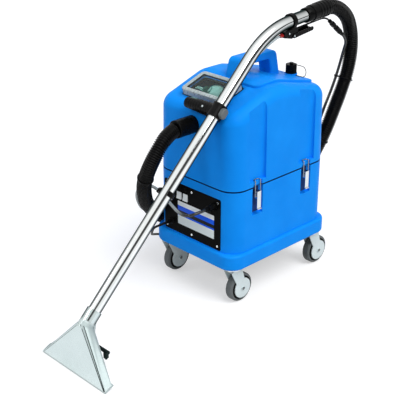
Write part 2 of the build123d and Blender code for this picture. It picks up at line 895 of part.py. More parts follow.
# Latch plates on the pocket floors, each with two ears and a pivot pin
ear_middle = lever_width / 2 - lever_sheet - ear_gap - lever_sheet / 2
plate_face = pocket_depth - latch_plate
with BuildPart() as latch_plates:
    for side, y in latch_spots:
        with BuildSketch(Plane.YZ.offset(side * (half_width - pocket_depth))):
            with Locations((y, (latch_plate_top + latch_plate_bottom) / 2)):
                Rectangle(latch_plate_width, latch_plate_top - latch_plate_bottom)
        extrude(amount=side * latch_plate)
        with BuildSketch(Plane.YZ.offset(side * (half_width - plate_face))):
            for ear in (1, -1):
                with Locations((y + ear * ear_middle, lever_pivot + (ear_rise - ear_round) / 2)):
                    Rectangle(lever_sheet, ear_round + ear_rise)
        extrude(amount=side * plate_face)
        for ear in (1, -1):
            with Locations(Location((side * half_width, y + ear * ear_middle, lever_pivot), (90, 0, 0))):
                Cylinder(ear_round, lever_sheet)
        with Locations(Location((side * half_width, y, lever_pivot), (90, 0, 0))):
            Cylinder(pivot_radius, lever_width)
keep(latch_plates.part, "latch_plates")

bail_pivot = lever_pivot - bail_drop
bail_top = ledge_height + bail_radius + fit_gap
bail_hook = channel_depth - 2 * bail_radius
pin_inside = lever_width / 2 - lever_sheet - ear_gap / 2
for (side, y), latch_name in zip(latch_spots, latch_names):
    with BuildPart() as lever:
        with BuildSketch(Plane.YZ.offset(side * (half_width + lever_proud))):
            with Locations((y, (lever_top + lever_tip) / 2)):
                Rectangle(lever_width, lever_top - lever_tip)
        extrude(amount=side * lever_sheet)
        with BuildSketch(Plane.YZ.offset(side * (half_width - lever_flange))):
            for flange in (1, -1):
                with Locations((y + flange * (lever_width - lever_sheet) / 2, lever_top - lever_skirt / 2)):
                    Rectangle(lever_sheet, lever_skirt)
                with Locations((y + flange * (lever_width - lever_sheet) / 2, bail_pivot)):
                    Rectangle(lever_sheet, lever_skirt / 2)
        extrude(amount=side * (lever_flange + lever_proud))
        with BuildSketch(Plane.YZ.offset(side * (half_width + lever_proud))):
            with Locations((y, lever_tip + lever_sheet / 2)):
                Rectangle(lever_width, lever_sheet)
        extrude(amount=side * (lever_sheet + lever_lip))
        with Locations(Location((side * half_width, y, lever_pivot), (90, 0, 0))):
            Cylinder(pivot_radius + pin_gap, 2 * lever_width, mode=Mode.SUBTRACT)
        with Locations(Location((side * half_width, y, bail_pivot), (90, 0, 0))):
            Cylinder(bail_radius + pin_gap, 2 * lever_width, mode=Mode.SUBTRACT)
    keep(lever.part, f"latch_lever_{latch_name}")

    outside = side * half_width
    inside = side * (half_width - bail_hook)
    with BuildPart() as bail:
        with BuildLine() as bail_line:
            FilletPolyline(
                (outside, y + pin_inside, bail_pivot),
                (outside, y + bail_half_width, bail_pivot),
                (outside, y + bail_half_width, bail_top),
                (inside, y + bail_half_width, bail_top),
                (inside, y - bail_half_width, bail_top),
                (outside, y - bail_half_width, bail_top),
                (outside, y - bail_half_width, bail_pivot),
                (outside, y - pin_inside, bail_pivot),
                radius=[bail_bend, bail_bend, bail_round, bail_round, bail_bend, bail_bend],
            )
        with BuildSketch(Plane(bail_line.line @ 0, z_dir=bail_line.line % 0)):
            Circle(bail_radius)
        sweep(path=bail_line.line)
    keep(bail.part, f"latch_bail_{latch_name}")

# Where the wand's clamp lies on the rounded front edge of the tank's roof
draft = math.radians(tank_draft)
lean = math.radians(wand_lean)
rise = math.radians(tube_rise)
clamp_radius = tube_radius + clamp_wall
edge_y = (
    roof_edge / math.cos(draft)
    + math.tan(draft) * (roof_front - roof_edge / math.cos(slope) - tank_bottom)
) / (1 - math.tan(draft) * math.tan(slope))
edge_z = roof_front + edge_y * math.tan(slope) - roof_edge / math.cos(slope)
lean_distance = roof_edge + clamp_radius + lean_gap
rest_y = edge_y - lean_distance * math.sin(lean)
rest_z = edge_z + lean_distance * math.cos(lean)
bend_y = rest_y + clamp_to_bend * math.cos(lean)
bend_z = rest_z + clamp_to_bend * math.sin(lean)


# A point on the wand's long lower run, by distance from the clamp
def lower(distance, below=0.0, side=0.0):
    return Vector(
        wand_x + side,
        rest_y + distance * math.cos(lean) + below * math.sin(lean),
        rest_z + distance * math.sin(lean) - below * math.cos(lean),
    )


# A point on the wand's upper run, by distance from the corner of the bend
def upper(distance, below=0.0, side=0.0):
    return Vector(
        wand_x + side,
        bend_y + distance * math.cos(rise) + below * math.sin(rise),
        bend_z + distance * math.sin(rise) - below * math.cos(rise),
    )


# Planes square to the two runs, with x to the side and y below the tube
def across_lower(distance):
    return Plane(lower(distance), x_dir=(1, 0, 0), z_dir=(0, math.cos(lean), math.sin(lean)))


def across_upper(distance):
    return Plane(upper(distance), x_dir=(1, 0, 0), z_dir=(0, math.cos(rise), math.sin(rise)))


neck_along = (neck_lift - rest_z) / math.sin(lean)
neck = lower(neck_along)
lip_y = neck.Y - lip_ahead
tube_start = neck_along + collar_sink

# Wand tube: one bent pipe
with BuildPart() as wand_tube:
    with BuildLine() as tube_line:
        FilletPolyline(lower(tube_start), upper(0), upper(upper_length), radius=tube_bend)
    with BuildSketch(across_lower(tube_start)):
        Circle(tube_radius)
        Circle(tube_radius - tube_wall, mode=Mode.SUBTRACT)
    sweep(path=tube_line.line)
keep(wand_tube.part, "wand_tube")

# Head: a hollow funnel from the wide mouth to the neck, with a collar for the tube
mouth_angle = math.radians(mouth_slope)
neck_angle = math.radians(neck_tilt)
mouth_plane = Plane(
    (
        wand_x,
        lip_y + head_depth / 2 * math.cos(mouth_angle),
        head_depth / 2 * math.sin(mouth_angle),
    ),
    x_dir=(1, 0, 0),
    z_dir=(0, -math.sin(mouth_angle), math.cos(mouth_angle)),
)
neck_plane = Plane(neck, x_dir=(1, 0, 0), z_dir=(0, math.cos(neck_angle), math.sin(neck_angle)))


def funnel(inset):
    with BuildPart() as shape:
        with BuildSketch(mouth_plane.offset(glide_depth)):
            RectangleRounded(
                head_width - 2 * glide_lap - 2 * inset,
                head_depth - 2 * glide_lap - 2 * inset,
                head_corner - inset,
            )
        with BuildSketch(neck_plane):
            RectangleRounded(neck_size - 2 * inset, neck_size - 2 * inset, neck_corner - inset)
        loft(ruled=True)
    return shape.part


funnel_outside = funnel(0)
funnel_inside = funnel(head_wall)
with BuildPart() as wand_head:
    add(funnel_outside)
    with BuildSketch(across_lower(neck_along - collar_sink)):
        Circle(collar_radius)
    extrude(amount=collar_length + collar_sink)
    add(funnel_inside, mode=Mode.SUBTRACT)
    with BuildSketch(across_lower(neck_along - collar_sink)):
        Circle(tube_radius - tube_wall)
    extrude(amount=collar_length, mode=Mode.SUBTRACT)
    with BuildSketch(across_lower(tube_start)):
        Circle(tube_radius + slip_gap)
    extrude(amount=collar_length, mode=Mode.SUBTRACT)
keep(wand_head.part, "wand_head")

# Glide round the mouth, which stands on the floor by its front edge
with BuildPart() as head_glide:
    with BuildSketch(mouth_plane):
        Rectangle(head_width, head_depth)
        RectangleRounded(
            head_width - 2 * glide_rim,
            head_depth - 2 * glide_rim,
            head_corner - head_wall,
            mode=Mode.SUBTRACT,
        )
    extrude(amount=glide_depth)
keep(head_glide.part, "head_glide")

# Jets: a cross bar on two arms behind the head, with two nozzles and an inlet
jet_y = lip_y + jet_back
with BuildPart() as jet_manifold:
    with Locations(Location((wand_x, jet_y, jet_height), (0, 90, 0))):
        Cylinder(jet_bar, 2 * jet_spread + 4 * jet_bar)
    for side in (1, -1):
        with BuildSketch(Plane.XY.offset(jet_height - jet_length)):
            with Locations((wand_x + side * jet_spread, jet_y)):
                Circle(jet_bar * 4 / 3)
        extrude(amount=jet_length)
        with BuildSketch(Plane.XY.offset(jet_height - jet_length)):
            with Locations((wand_x + side * jet_spread, jet_y)):
                Circle(jet_bar * 2 / 3)
        extrude(amount=-jet_bar)
        with BuildSketch(Plane.XY.offset(jet_height)):
            with Locations((wand_x + side * jet_spread / 2, jet_y - jet_arm / 2)):
                Rectangle(jet_bar, jet_arm)
        extrude(amount=jet_bar / 4, both=True)
    with BuildSketch(Plane.XY.offset(jet_height)):
        with Locations((wand_x, jet_y)):
            Circle(jet_bar)
    extrude(amount=jet_inlet)
    add(funnel_outside, mode=Mode.SUBTRACT)
    stray = jet_manifold.part.solids().sort_by(SortBy.VOLUME)[:-1]
    for scrap in stray:
        add(scrap, mode=Mode.SUBTRACT)
keep(jet_manifold.part, "jet_manifold")

# Clamp on the tube with the side grip that points along -X
line_below = (tube_radius + line_radius + line_clear) * math.cos(math.radians(line_angle))
line_side = -(tube_radius + line_radius + line_clear) * math.sin(math.radians(line_angle))
with BuildPart() as front_grip:
    with BuildSketch(across_lower(-clamp_length / 2)):
        Circle(clamp_radius)
    extrude(amount=clamp_length)
    grip_plane = Plane(lower(0), x_dir=(0, math.cos(lean), math.sin(lean)), z_dir=(-1, 0, 0))
    with BuildSketch(grip_plane):
        Circle(grip_base)
    extrude(amount=clamp_radius + grip_ring_depth)
    with BuildSketch(grip_plane.offset(clamp_radius)):
        Circle(grip_base - grip_ring_depth)
    with BuildSketch(grip_plane.offset(clamp_radius + grip_length)):
        Circle(grip_tip - grip_ring_depth)
    loft()
    for ring in range(1, grip_rings + 1):
        share = ring / grip_rings
        ring_size = grip_base + (grip_tip - grip_base) * share
        with BuildSketch(grip_plane.offset(clamp_radius + grip_length * share - grip_ring_width)):
            Circle(ring_size)
        extrude(amount=grip_ring_width)
    with BuildSketch(across_lower(-clamp_length)):
        Circle(tube_radius + slip_gap)
        with Locations((line_side, line_below)):
            Circle(line_radius + line_clear)
    extrude(amount=2 * clamp_length, mode=Mode.SUBTRACT)
keep(front_grip.part, "front_grip")

# Grey cap on the other side of the clamp
with BuildPart() as grip_cap:
    cap_plane = Plane(lower(0), x_dir=(0, math.cos(lean), math.sin(lean)), z_dir=(1, 0, 0))
    with BuildSketch(cap_plane.offset(tube_radius)):
        RectangleRounded(cap_long, cap_short, cap_short / 2 - line_clear)
    extrude(amount=clamp_wall + cap_thick)
    fillet(grip_cap.faces().sort_by(Axis.X)[-1].edges(), cap_thick / 3)
    with BuildSketch(across_lower(-clamp_length)):
        Circle(clamp_radius + slip_gap)
    extrude(amount=2 * clamp_length, mode=Mode.SUBTRACT)
keep(grip_cap.part, "grip_cap")

# Open clip under the lower run that holds the solution line, with a hook on its side
clip_mouth = 2 * tube_radius * math.tan(math.radians(clip_opening))
with BuildPart() as tube_clip:
    with BuildSketch(across_lower(clip_along - clip_length / 2)):
        Circle(tube_radius + clip_wall)
        with Locations((line_side, line_below)):
            Circle(line_radius + clip_wall)
        with Locations((-tube_radius - clip_wall, hook_below)):
            Rectangle(2 * hook_reach, clip_wall)
        with Locations((-tube_radius - clip_wall - hook_reach + clip_wall / 2, hook_below - hook_reach / 2)):
            Rectangle(clip_wall, hook_reach)
        Circle(tube_radius + slip_gap, mode=Mode.SUBTRACT)
        with BuildLine():
            Polyline((0, 0), (clip_mouth, -2 * tube_radius), (-clip_mouth, -2 * tube_radius), close=True)
        make_face(mode=Mode.SUBTRACT)
        with Locations((line_side, line_below)):
            Circle(line_radius + slip_gap, mode=Mode.SUBTRACT)
    extrude(amount=clip_length)
keep(tube_clip.part, "tube_clip")

# Cuff that joins the vacuum hose to the tube
cuff_start = upper_length - cuff_overlap
cuff_end = cuff_start + hose_cuff_length
with BuildPart() as hose_cuff:
    with BuildSketch(across_upper(cuff_start)):
        Circle(hose_cuff_radius)
    extrude(amount=hose_cuff_length)
    fillet(hose_cuff.edges(), cuff_rim)
    with BuildSketch(across_upper(cuff_start)):
        Circle(hose_bore)
    extrude(amount=hose_cuff_length, mode=Mode.SUBTRACT)
    with BuildSketch(across_upper(cuff_start)):
        Circle(tube_radius + slip_gap)
    extrude(amount=cuff_overlap + slip_gap, mode=Mode.SUBTRACT)
    with BuildSketch(across_upper(cuff_end)):
        Circle(hose_radius + fit_gap)
    extrude(amount=-hose_socket, mode=Mode.SUBTRACT)
keep(hose_cuff.part, "hose_cuff")

# Valve under the tube: a strap, a body and the trigger's pivot pin
valve_plane = Plane(
    upper(valve_along),
    x_dir=(0, math.cos(rise), math.sin(rise)),
    z_dir=(1, 0, 0),
)
arm_inside = valve_width / 2 + running_gap
arm_outside = arm_inside + trigger_sheet
with BuildPart() as valve_body:
    with BuildSketch(across_upper(valve_along - strap_width / 2)):
        Circle(tube_radius + strap_wall)
        with Locations((0, valve_top)):
            Rectangle(valve_width, 2 * strap_wall)
        Circle(tube_radius + slip_gap, mode=Mode.SUBTRACT)
    extrude(amount=strap_width)
    with BuildSketch(valve_plane.offset(-valve_width / 2)):
        with BuildLine():
            Polyline(
                (-valve_behind, -valve_top),
                (-valve_behind, -valve_bottom + valve_chin),
                (-valve_chin, -valve_bottom),
                (valve_ahead, -valve_bottom),
                (valve_ahead, -valve_top),
                close=True,
            )
        make_face()
    extrude(amount=valve_width)
    with BuildSketch(valve_plane.offset(-arm_outside)):
        with Locations((trigger_along, -trigger_drop)):
            Circle(pivot_pin)
    extrude(amount=2 * arm_outside)
    with BuildSketch(valve_plane.offset(-valve_width / 2 - trigger_sheet / 2)):
        with Locations((-valve_behind / 2, -valve_top - valve_chin)):
            Circle(pivot_pin + trigger_sheet / 2)
    extrude(amount=valve_width + trigger_sheet)
keep(valve_body.part, "valve_body")

# Red collar where the solution line pushes into the valve
push_fit_drop = valve_top + push_fit_radius + 2 * trigger_sheet
with BuildPart() as push_fit_collar:
    with BuildSketch(across_upper(valve_along - valve_behind)):
        with Locations((0, push_fit_drop)):
            Circle(push_fit_radius)
    extrude(amount=-push_fit_length / 2)
    with BuildSketch(across_upper(valve_along - valve_behind)):
        with Locations((0, push_fit_drop)):
            Circle(push_fit_radius - line_clear)
    extrude(amount=-push_fit_length)
keep(push_fit_collar.part, "push_fit_collar")

# Trigger: a channel that straddles the valve and opens it when squeezed
trigger_tail = trigger_along + trigger_length - trigger_height / 2
tail_drop = trigger_drop - trigger_rise


def trigger_outline(lift):
    with Locations((trigger_along, lift - trigger_drop)):
        Circle(trigger_nose)
    with Locations((trigger_tail, lift - tail_drop)):
        Circle(trigger_height / 2)
    make_hull()


with BuildPart() as trigger_lever:
    with BuildSketch(valve_plane.offset(-arm_outside)):
        trigger_outline(0)
    extrude(amount=2 * arm_outside)
    with BuildSketch(valve_plane.offset(-arm_inside)):
        trigger_outline(trigger_sheet)
    extrude(amount=2 * arm_inside, mode=Mode.SUBTRACT)
    with BuildSketch(valve_plane.offset(-arm_inside)):
        with Locations((trigger_along, -trigger_drop)):
            Rectangle(2 * (valve_ahead + trigger_sheet), 2 * trigger_height)
    extrude(amount=2 * arm_inside, mode=Mode.SUBTRACT)
    with BuildSketch(valve_plane.offset(-arm_outside)):
        with Locations((trigger_along, -trigger_drop)):
            Circle(pivot_pin + pin_gap)
    extrude(amount=2 * arm_outside, mode=Mode.SUBTRACT)
keep(trigger_lever.part, "trigger_lever")


# Corner radii for a route, so that each arc takes less than half of the shorter run
def route_radii(route):
    radii = []
    for before, here, after in zip(route, route[1:], route[2:]):
        first = Vector(here) - Vector(before)
        second = Vector(after) - Vector(here)
        half_turn = math.radians(first.get_angle(second)) / 2
        radii.append(0.45 * min(first.length, second.length) / math.tan(half_turn))
    return radii


def tube_path(route):
    return FilletPolyline(*route, radius=route_radii(route))


# Clear solution line from the valve down the tube to the jets
line_route = [
    upper(valve_along - valve_behind - push_fit_length, push_fit_drop),
    upper(valve_along - valve_behind - 3 * push_fit_length, push_fit_drop),
    lower(clamp_to_bend / 2, line_below, line_side),
    lower(neck_along + 3 * collar_length / 2, line_below, line_side),
    Vector(wand_x, jet_y, jet_height + 3 * jet_inlet),
    Vector(wand_x, jet_y, jet_height + jet_inlet),
]
with BuildPart() as solution_line:
    with BuildLine() as line_path:
        tube_path(line_route)
    with BuildSketch(Plane(line_path.line @ 0, z_dir=line_path.line % 0)):
        Circle(line_radius)
    sweep(path=line_path.line, transition=Transition.ROUND)
keep(solution_line.part, "solution_line")

# Whip from the valve under the cuff, and the fitting that joins it to the solution hose
fitting_angle = math.radians(fitting_drop)
fitting_start = upper(fitting_along, fitting_below)
fitting_direction = Vector(0, math.cos(rise - fitting_angle), math.sin(rise - fitting_angle))
whip_route = [
    upper(valve_along + valve_ahead, whip_drop),
    upper(cuff_end - hose_cuff_length / 3, whip_drop),
    fitting_start - fitting_direction * (2 * fitting_radius),
    fitting_start,
]
with BuildPart() as valve_whip:
    with BuildLine() as whip_path:
        tube_path(whip_route)
    with BuildSketch(Plane(whip_path.line @ 0, z_dir=whip_path.line % 0)):
        Circle(whip_radius)
    sweep(path=whip_path.line, transition=Transition.ROUND)
keep(valve_whip.part, "valve_whip")

fitting_plane = Plane(fitting_start, x_dir=(1, 0, 0), z_dir=fitting_direction)
fitting_end = fitting_start + fitting_direction * fitting_length
with BuildPart() as hose_fitting:
    with BuildSketch(fitting_plane):
        Circle(fitting_radius * 3 / 4)
    extrude(amount=fitting_length)
    with BuildSketch(fitting_plane.offset(fitting_length / 6)):
        RegularPolygon(fitting_radius, 6)
    extrude(amount=fitting_length / 5)
    with BuildSketch(fitting_plane.offset(fitting_length / 2)):
        Circle(fitting_radius)
    extrude(amount=fitting_length / 3)
keep(hose_fitting.part, "hose_fitting")

# Route of the vacuum hose: from the inlet down past the machine's left side, round behind it
# and up to the wand
hose_end = cuff_end - hose_socket
vacuum_route = [
    Vector(inlet_x, -cuff_length, inlet_height),
    Vector(inlet_x, -cuff_length - cuff_lead, inlet_height),
    Vector(0, -166, 564),
    Vector(-13, -182, 522),
    Vector(-37, -180, 473),
    Vector(-64, -164, 421),
    Vector(-95, -139, 366),
    Vector(-128, -105, 317),
    Vector(-162, -62, 274),
    Vector(-190, -14, 232),
    Vector(-217, 42, 192),
    Vector(-230, 105, 150),
    Vector(-245, 175, 110),
    Vector(-262, 255, 68),
    Vector(-278, 345, 38),
    Vector(-286, 440, 26),
    Vector(-272, 525, 26),
    Vector(-225, 580, 34),
    Vector(-165, 595, 70),
    Vector(-105, 580, 120),
    Vector(-50, 555, 178),
    Vector(0, 530, 243),
    Vector(45, 517, 315),
    Vector(80, 520, 390),
    Vector(100, 545, 460),
    Vector(104, 585, 525),
    Vector(105, 630, 590),
    Vector(wand_x, 660, 660),
    Vector(wand_x, 668, 735),
    Vector(wand_x, 655, 805),
    Vector(wand_x, 615, 858),
    upper(hose_end + hose_lead),
    upper(hose_end),
]


# Where a tie holds both hoses, the smaller one runs beside the larger at a set spacing
def beside(first, second, lean_to):
    run = (second - first).normalized()
    square = (Vector(lean_to) - run * run.dot(Vector(lean_to))).normalized()
    return square * tie_spacing


low_first, low_second = vacuum_route[23], vacuum_route[24]
high_first, high_second = vacuum_route[26], vacuum_route[27]
low_beside = beside(low_first, low_second, (-22, -24, 0))
high_beside = beside(high_first, high_second, (-22, -24, 0))
fitting_tail = fitting_end + fitting_direction * solution_lead
solution_route = [
    Vector(coupler_x, -panel_face - coupler_length, coupler_z),
    Vector(coupler_x, -71, coupler_z),
    Vector(82, -97, 333),
    Vector(48, -98, 327),
    Vector(8, -92, 336),
    Vector(-34, -88, 356),
    Vector(-74, -88, 375),
    Vector(-112, -96, 382),
    Vector(-143, -106, 366),
    Vector(-171, -95, 328),
    Vector(-192, -72, 285),
    Vector(-221, -28, 234),
    Vector(-250, 33, 194),
    Vector(-263, 101, 155),
    Vector(-277, 174, 120),
    Vector(-291, 257, 86),
    Vector(-300, 348, 63),
    Vector(-298, 443, 58),
    Vector(-273, 523, 60),
    Vector(-231, 569, 66),
    Vector(-185, 595, 98),
    Vector(-126, 587, 145),
    Vector(-72, 566, 201),
    Vector(-25, 540, 263),
    Vector(15, 521, 331),
    low_first + low_beside,
    low_second + low_beside,
    Vector(81, 562, 537),
    high_first + high_beside,
    high_second + high_beside,
    Vector(97, 632, 724),
    fitting_tail,
    fitting_end,
]


# Ribbed hose: circles at rising and falling radii along the route, and a smooth bore
with BuildLine() as vacuum_line:
    tube_path(vacuum_route)
vacuum_path = vacuum_line.wire()
print("vacuum hose length", round(vacuum_path.length, 1))
print("vacuum hose least bend", round(min(route_radii(vacuum_route)), 1))
rib_profile = [(0.0, hose_valley), (0.3, hose_radius), (0.6, hose_radius), (0.9, hose_valley)]
seam_axis = Vector(0, 0, 1)
with BuildPart() as vacuum_hose:
    for rib in range(hose_ribs):
        for share, radius in rib_profile:
            place = (rib + share) / hose_ribs
            spot = vacuum_path @ place
            heading = vacuum_path % place
            seam_axis = (seam_axis - heading * seam_axis.dot(heading)).normalized()
            with BuildSketch(Plane(spot, x_dir=seam_axis, z_dir=heading)):
                Circle(radius)
    with BuildSketch(Plane(vacuum_path @ 1, x_dir=seam_axis, z_dir=vacuum_path % 1)):
        Circle(hose_valley)
    loft(ruled=True)
    with BuildSketch(Plane(vacuum_path @ 0, z_dir=vacuum_path % 0)):
        Circle(hose_bore)
    sweep(path=vacuum_path, transition=Transition.ROUND, mode=Mode.SUBTRACT)
keep(vacuum_hose.part, "vacuum_hose")


def plain_tube(route, radius):
    with BuildPart() as tube:
        with BuildLine() as tube_line:
            tube_path(route)
        with BuildSketch(Plane(tube_line.line @ 0, z_dir=tube_line.line % 0)):
            Circle(radius)
        sweep(path=tube_line.line, transition=Transition.ROUND)
    section = math.pi * radius**2
    print("tube of radius", radius, "length", round(tube_line.wire().length, 1))
    print("least bend radius", round(min(route_radii(route)), 1))
    print("volume over section times length", round(tube.part.volume / section / tube_line.wire().length, 4))
    return tube.part


solution_hose = plain_tube(solution_route, solution_radius)
keep(solution_hose, "solution_hose")

# Ties: two hold the hoses together, one is on the vacuum hose alone
with BuildPart() as hose_ties:
    for first, second, offset in (
        (low_first, low_second, low_beside),
        (high_first, high_second, high_beside),
    ):
        tie_plane = Plane((first + second) / 2, x_dir=offset, z_dir=second - first)
        with BuildSketch(tie_plane.offset(-tie_width / 2)):
            Circle(hose_radius + tie_gap + tie_wall)
            with Locations((tie_spacing, 0)):
                Circle(solution_radius + tie_gap + tie_wall)
            make_hull()
            Circle(hose_radius + tie_gap, mode=Mode.SUBTRACT)
            with Locations((tie_spacing, 0)):
                Circle(solution_radius + tie_gap, mode=Mode.SUBTRACT)
        extrude(amount=tie_width)
    front_first, front_second = vacuum_route[4], vacuum_route[5]
    tie_plane = Plane((front_first + front_second) / 2, z_dir=front_second - front_first)
    with BuildSketch(tie_plane.offset(-tie_width / 2)):
        Circle(hose_radius + tie_gap + tie_wall)
        Circle(hose_radius + tie_gap, mode=Mode.SUBTRACT)
    extrude(amount=tie_width)
keep(hose_ties.part, "hose_ties")

# Mains cord: down from the gland, round the left side on the floor, to the coil
coil_bottom = cord_radius + coil_lift
coil_start = Vector(coil_x, coil_y - coil_outside, coil_bottom)
cord_route = [
    Vector(gland_x, -panel_face - gland_length, gland_z),
    Vector(gland_x, -panel_face - gland_length - cord_lead, gland_z),
    Vector(-124, -63, 211),
    Vector(-152, -46, 186),
    Vector(-181, -24, 160),
    Vector(-209, 5, 140),
    Vector(-228, 48, 119),
    Vector(-240, 97, 92),
    Vector(-244, 152, 56),
    Vector(-242, 208, 24),
    Vector(-240, 265, cord_radius),
    Vector(-239, 335, cord_radius),
    Vector(-241, 405, cord_radius),
    Vector(-234, 465, cord_radius),
    Vector(-200, 516, cord_radius),
    coil_start - Vector(60, 0, 0),
    coil_start,
]
mains_cord = plain_tube(cord_route, cord_radius)
keep(mains_cord, "mains_cord")

# Coil: flat spirals in and out, one over the other, sampled at quarter turns
quarters = coil_layers * layer_quarters + 2 * (coil_layers - 1)
coil_rate = coil_pitch / 4


def coil_sample(quarter):
    layer, step = divmod(quarter, layer_quarters + 2)
    inward = layer % 2 == 0
    climb = max(0, step - layer_quarters)
    travel = step if climb == 0 else layer_quarters + (1 if climb == 1 else 0)
    drop = travel * coil_rate
    furthest = layer_quarters * coil_rate
    radius = coil_outside - drop if inward else coil_outside - furthest + drop
    radius_rate = 0.0 if climb == 1 else (-coil_rate if inward else coil_rate)
    height = coil_bottom + (layer + climb / 2) * coil_pitch
    height_rate = coil_pitch / 2 if climb == 1 else 0.0
    turn = math.radians(90 * (quarter - 1))
    outward = Vector(math.cos(turn), math.sin(turn), 0)
    forward = Vector(-math.sin(turn), math.cos(turn), 0)
    spot = Vector(coil_x, coil_y, height) + outward * radius
    heading = outward * radius_rate + forward * (radius * math.pi / 2) + Vector(0, 0, height_rate)
    return spot, heading.normalized()


coil_samples = [coil_sample(quarter) for quarter in range(quarters + 1)]
coil_samples[0] = (coil_start, Vector(1, 0, 0))
coil_samples[-1] = (coil_samples[-1][0], Vector(-1, 0, 0))
tail_start = coil_samples[-1][0]
plug_height = plug_radius
tail_end = Vector(tail_start.X - 3 * tail_run, tail_start.Y, plug_height)
tail_route = [
    tail_start,
    tail_start - Vector(tail_run, 0, 0),
    tail_end + Vector(tail_run / 2, 0, 0),
    tail_end,
]
with BuildPart() as mains_coil:
    with BuildLine() as coil_line:
        for (here, heading), (there, next_heading) in zip(coil_samples, coil_samples[1:]):
            chord = there - here
            both = heading + next_heading
            spread = 2 * (1 - heading.dot(next_heading))
            along_both = chord.dot(both)
            reach = (math.sqrt(along_both**2 + spread * chord.dot(chord)) - along_both) / spread
            joint = (here + there + (heading - next_heading) * reach) / 2
            TangentArc(here, joint, tangent=heading)
            TangentArc(joint, there, tangent=chord - both * reach)
        tube_path(tail_route)
    with BuildSketch(Plane(coil_start, z_dir=(1, 0, 0))):
        Circle(cord_radius)
    sweep(path=coil_line.line)
keep(mains_coil.part, "mains_coil")

# Least gap between turns of the coil, on points along its line
coil_path = coil_line.wire()
coil_length = coil_path.length
coil_count = int(coil_length / 4)
coil_points = [coil_path @ (index / coil_count) for index in range(coil_count + 1)]
apart = 8
coil_gap = min(
    (coil_points[index] - coil_points[other]).length
    for index in range(len(coil_points))
    for other in range(index + apart, len(coil_points))
    if abs(coil_points[index].X - coil_points[other].X) < 3 * cord_radius
    and abs(coil_points[index].Y - coil_points[other].Y) < 3 * cord_radius
)
print("coil length", round(coil_length, 1), "gap to itself", round(coil_gap - 2 * cord_radius, 2))
coil_section = math.pi * cord_radius**2
print("coil volume over section times length", round(mains_coil.part.volume / coil_section / coil_length, 4))

# Band round the turns of the coil
bundle_inside = coil_outside - (layer_quarters + 1) * coil_rate - cord_radius
bundle_outside = coil_outside + coil_rate + cord_radius
bundle_top = coil_bottom + (coil_layers - 1) * coil_pitch + cord_radius
band_inside = bundle_outside - bundle_inside + 2 * band_gap
band_height = bundle_top - coil_lift + 2 * band_gap
with BuildPart() as coil_band:
    band_plane = Plane(
        (coil_x + (bundle_inside + bundle_outside) / 2, coil_y, (coil_lift + bundle_top) / 2),
        x_dir=(1, 0, 0),
        z_dir=(0, 1, 0),
    )
    with BuildSketch(band_plane.offset(-band_width / 2)):
        RectangleRounded(band_inside + 2 * band_wall, band_height + 2 * band_wall, cord_radius)
        RectangleRounded(band_inside, band_height, cord_radius - band_wall, mode=Mode.SUBTRACT)
    extrude(amount=band_width)
keep(coil_band.part, "coil_band")

# Round two-pin plug that lies beside the coil
with BuildPart() as mains_plug:
    plug_plane = Plane(tail_end, x_dir=(0, 1, 0), z_dir=(-1, 0, 0))
    with BuildSketch(plug_plane):
        Circle(cord_radius * 5 / 4)
    with BuildSketch(plug_plane.offset(plug_sleeve)):
        Circle(plug_radius / 2)
    loft()
    with BuildSketch(plug_plane.offset(plug_sleeve)):
        Circle(plug_radius)
    extrude(amount=plug_length)
    fillet(mains_plug.edges().filter_by(GeomType.CIRCLE).sort_by(SortBy.RADIUS)[-2:], cord_radius)
    with BuildSketch(plug_plane.offset(plug_sleeve + plug_length)):
        with GridLocations(plug_pin_spacing, 0, 2, 1):
            Circle(plug_pin_radius)
    extrude(amount=plug_pin_length)
keep(mains_plug.part, "mains_plug")

# The origin goes under the middle of the pieces that aren't hoses or cords
loose = ["vacuum_hose", "solution_hose", "hose_ties", "mains_cord", "mains_coil", "coil_band", "mains_plug"]
boxes = [piece.bounding_box() for piece in pieces if piece.label not in loose]
shift_x = -(min(box.min.X for box in boxes) + max(box.max.X for box in boxes)) / 2
shift_y = -(min(box.min.Y for box in boxes) + max(box.max.Y for box in boxes)) / 2
origin_shift = Vector(round(shift_x, 3), round(shift_y, 3), 0)
print("origin moved by", origin_shift)

os.makedirs("parts", exist_ok=True)
for piece in pieces:
    moved = piece.moved(Location(origin_shift))
    moved.label = piece.label
    export_step(moved, f"parts/{moved.label}.step")
print(len(pieces), "pieces")
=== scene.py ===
import json
import math

import bmesh
import bpy
import numpy as np
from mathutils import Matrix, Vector


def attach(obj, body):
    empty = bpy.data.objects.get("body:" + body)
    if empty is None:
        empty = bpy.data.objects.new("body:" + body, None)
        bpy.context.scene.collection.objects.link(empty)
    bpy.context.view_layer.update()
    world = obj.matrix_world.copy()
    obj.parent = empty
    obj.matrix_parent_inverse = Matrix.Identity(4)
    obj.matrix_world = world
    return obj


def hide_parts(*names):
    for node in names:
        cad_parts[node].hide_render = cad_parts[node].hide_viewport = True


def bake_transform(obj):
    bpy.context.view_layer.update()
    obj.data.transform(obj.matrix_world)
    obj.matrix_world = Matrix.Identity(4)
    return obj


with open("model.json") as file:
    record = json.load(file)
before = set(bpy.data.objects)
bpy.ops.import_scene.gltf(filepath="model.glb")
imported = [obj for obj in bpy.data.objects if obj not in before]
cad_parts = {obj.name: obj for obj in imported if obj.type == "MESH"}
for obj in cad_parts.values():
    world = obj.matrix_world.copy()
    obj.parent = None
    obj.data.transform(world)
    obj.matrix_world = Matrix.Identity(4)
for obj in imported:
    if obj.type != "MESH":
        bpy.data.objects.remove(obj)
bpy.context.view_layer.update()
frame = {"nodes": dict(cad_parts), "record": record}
nodes = frame["nodes"]
scene = bpy.context.scene
shift = Vector((-32.5, -3.228, 0.0))  # machine frame to row frame, mm
cornerNames = ("right_front", "right_rear", "left_front", "left_rear")
print("frame loaded,", len(nodes), "nodes")


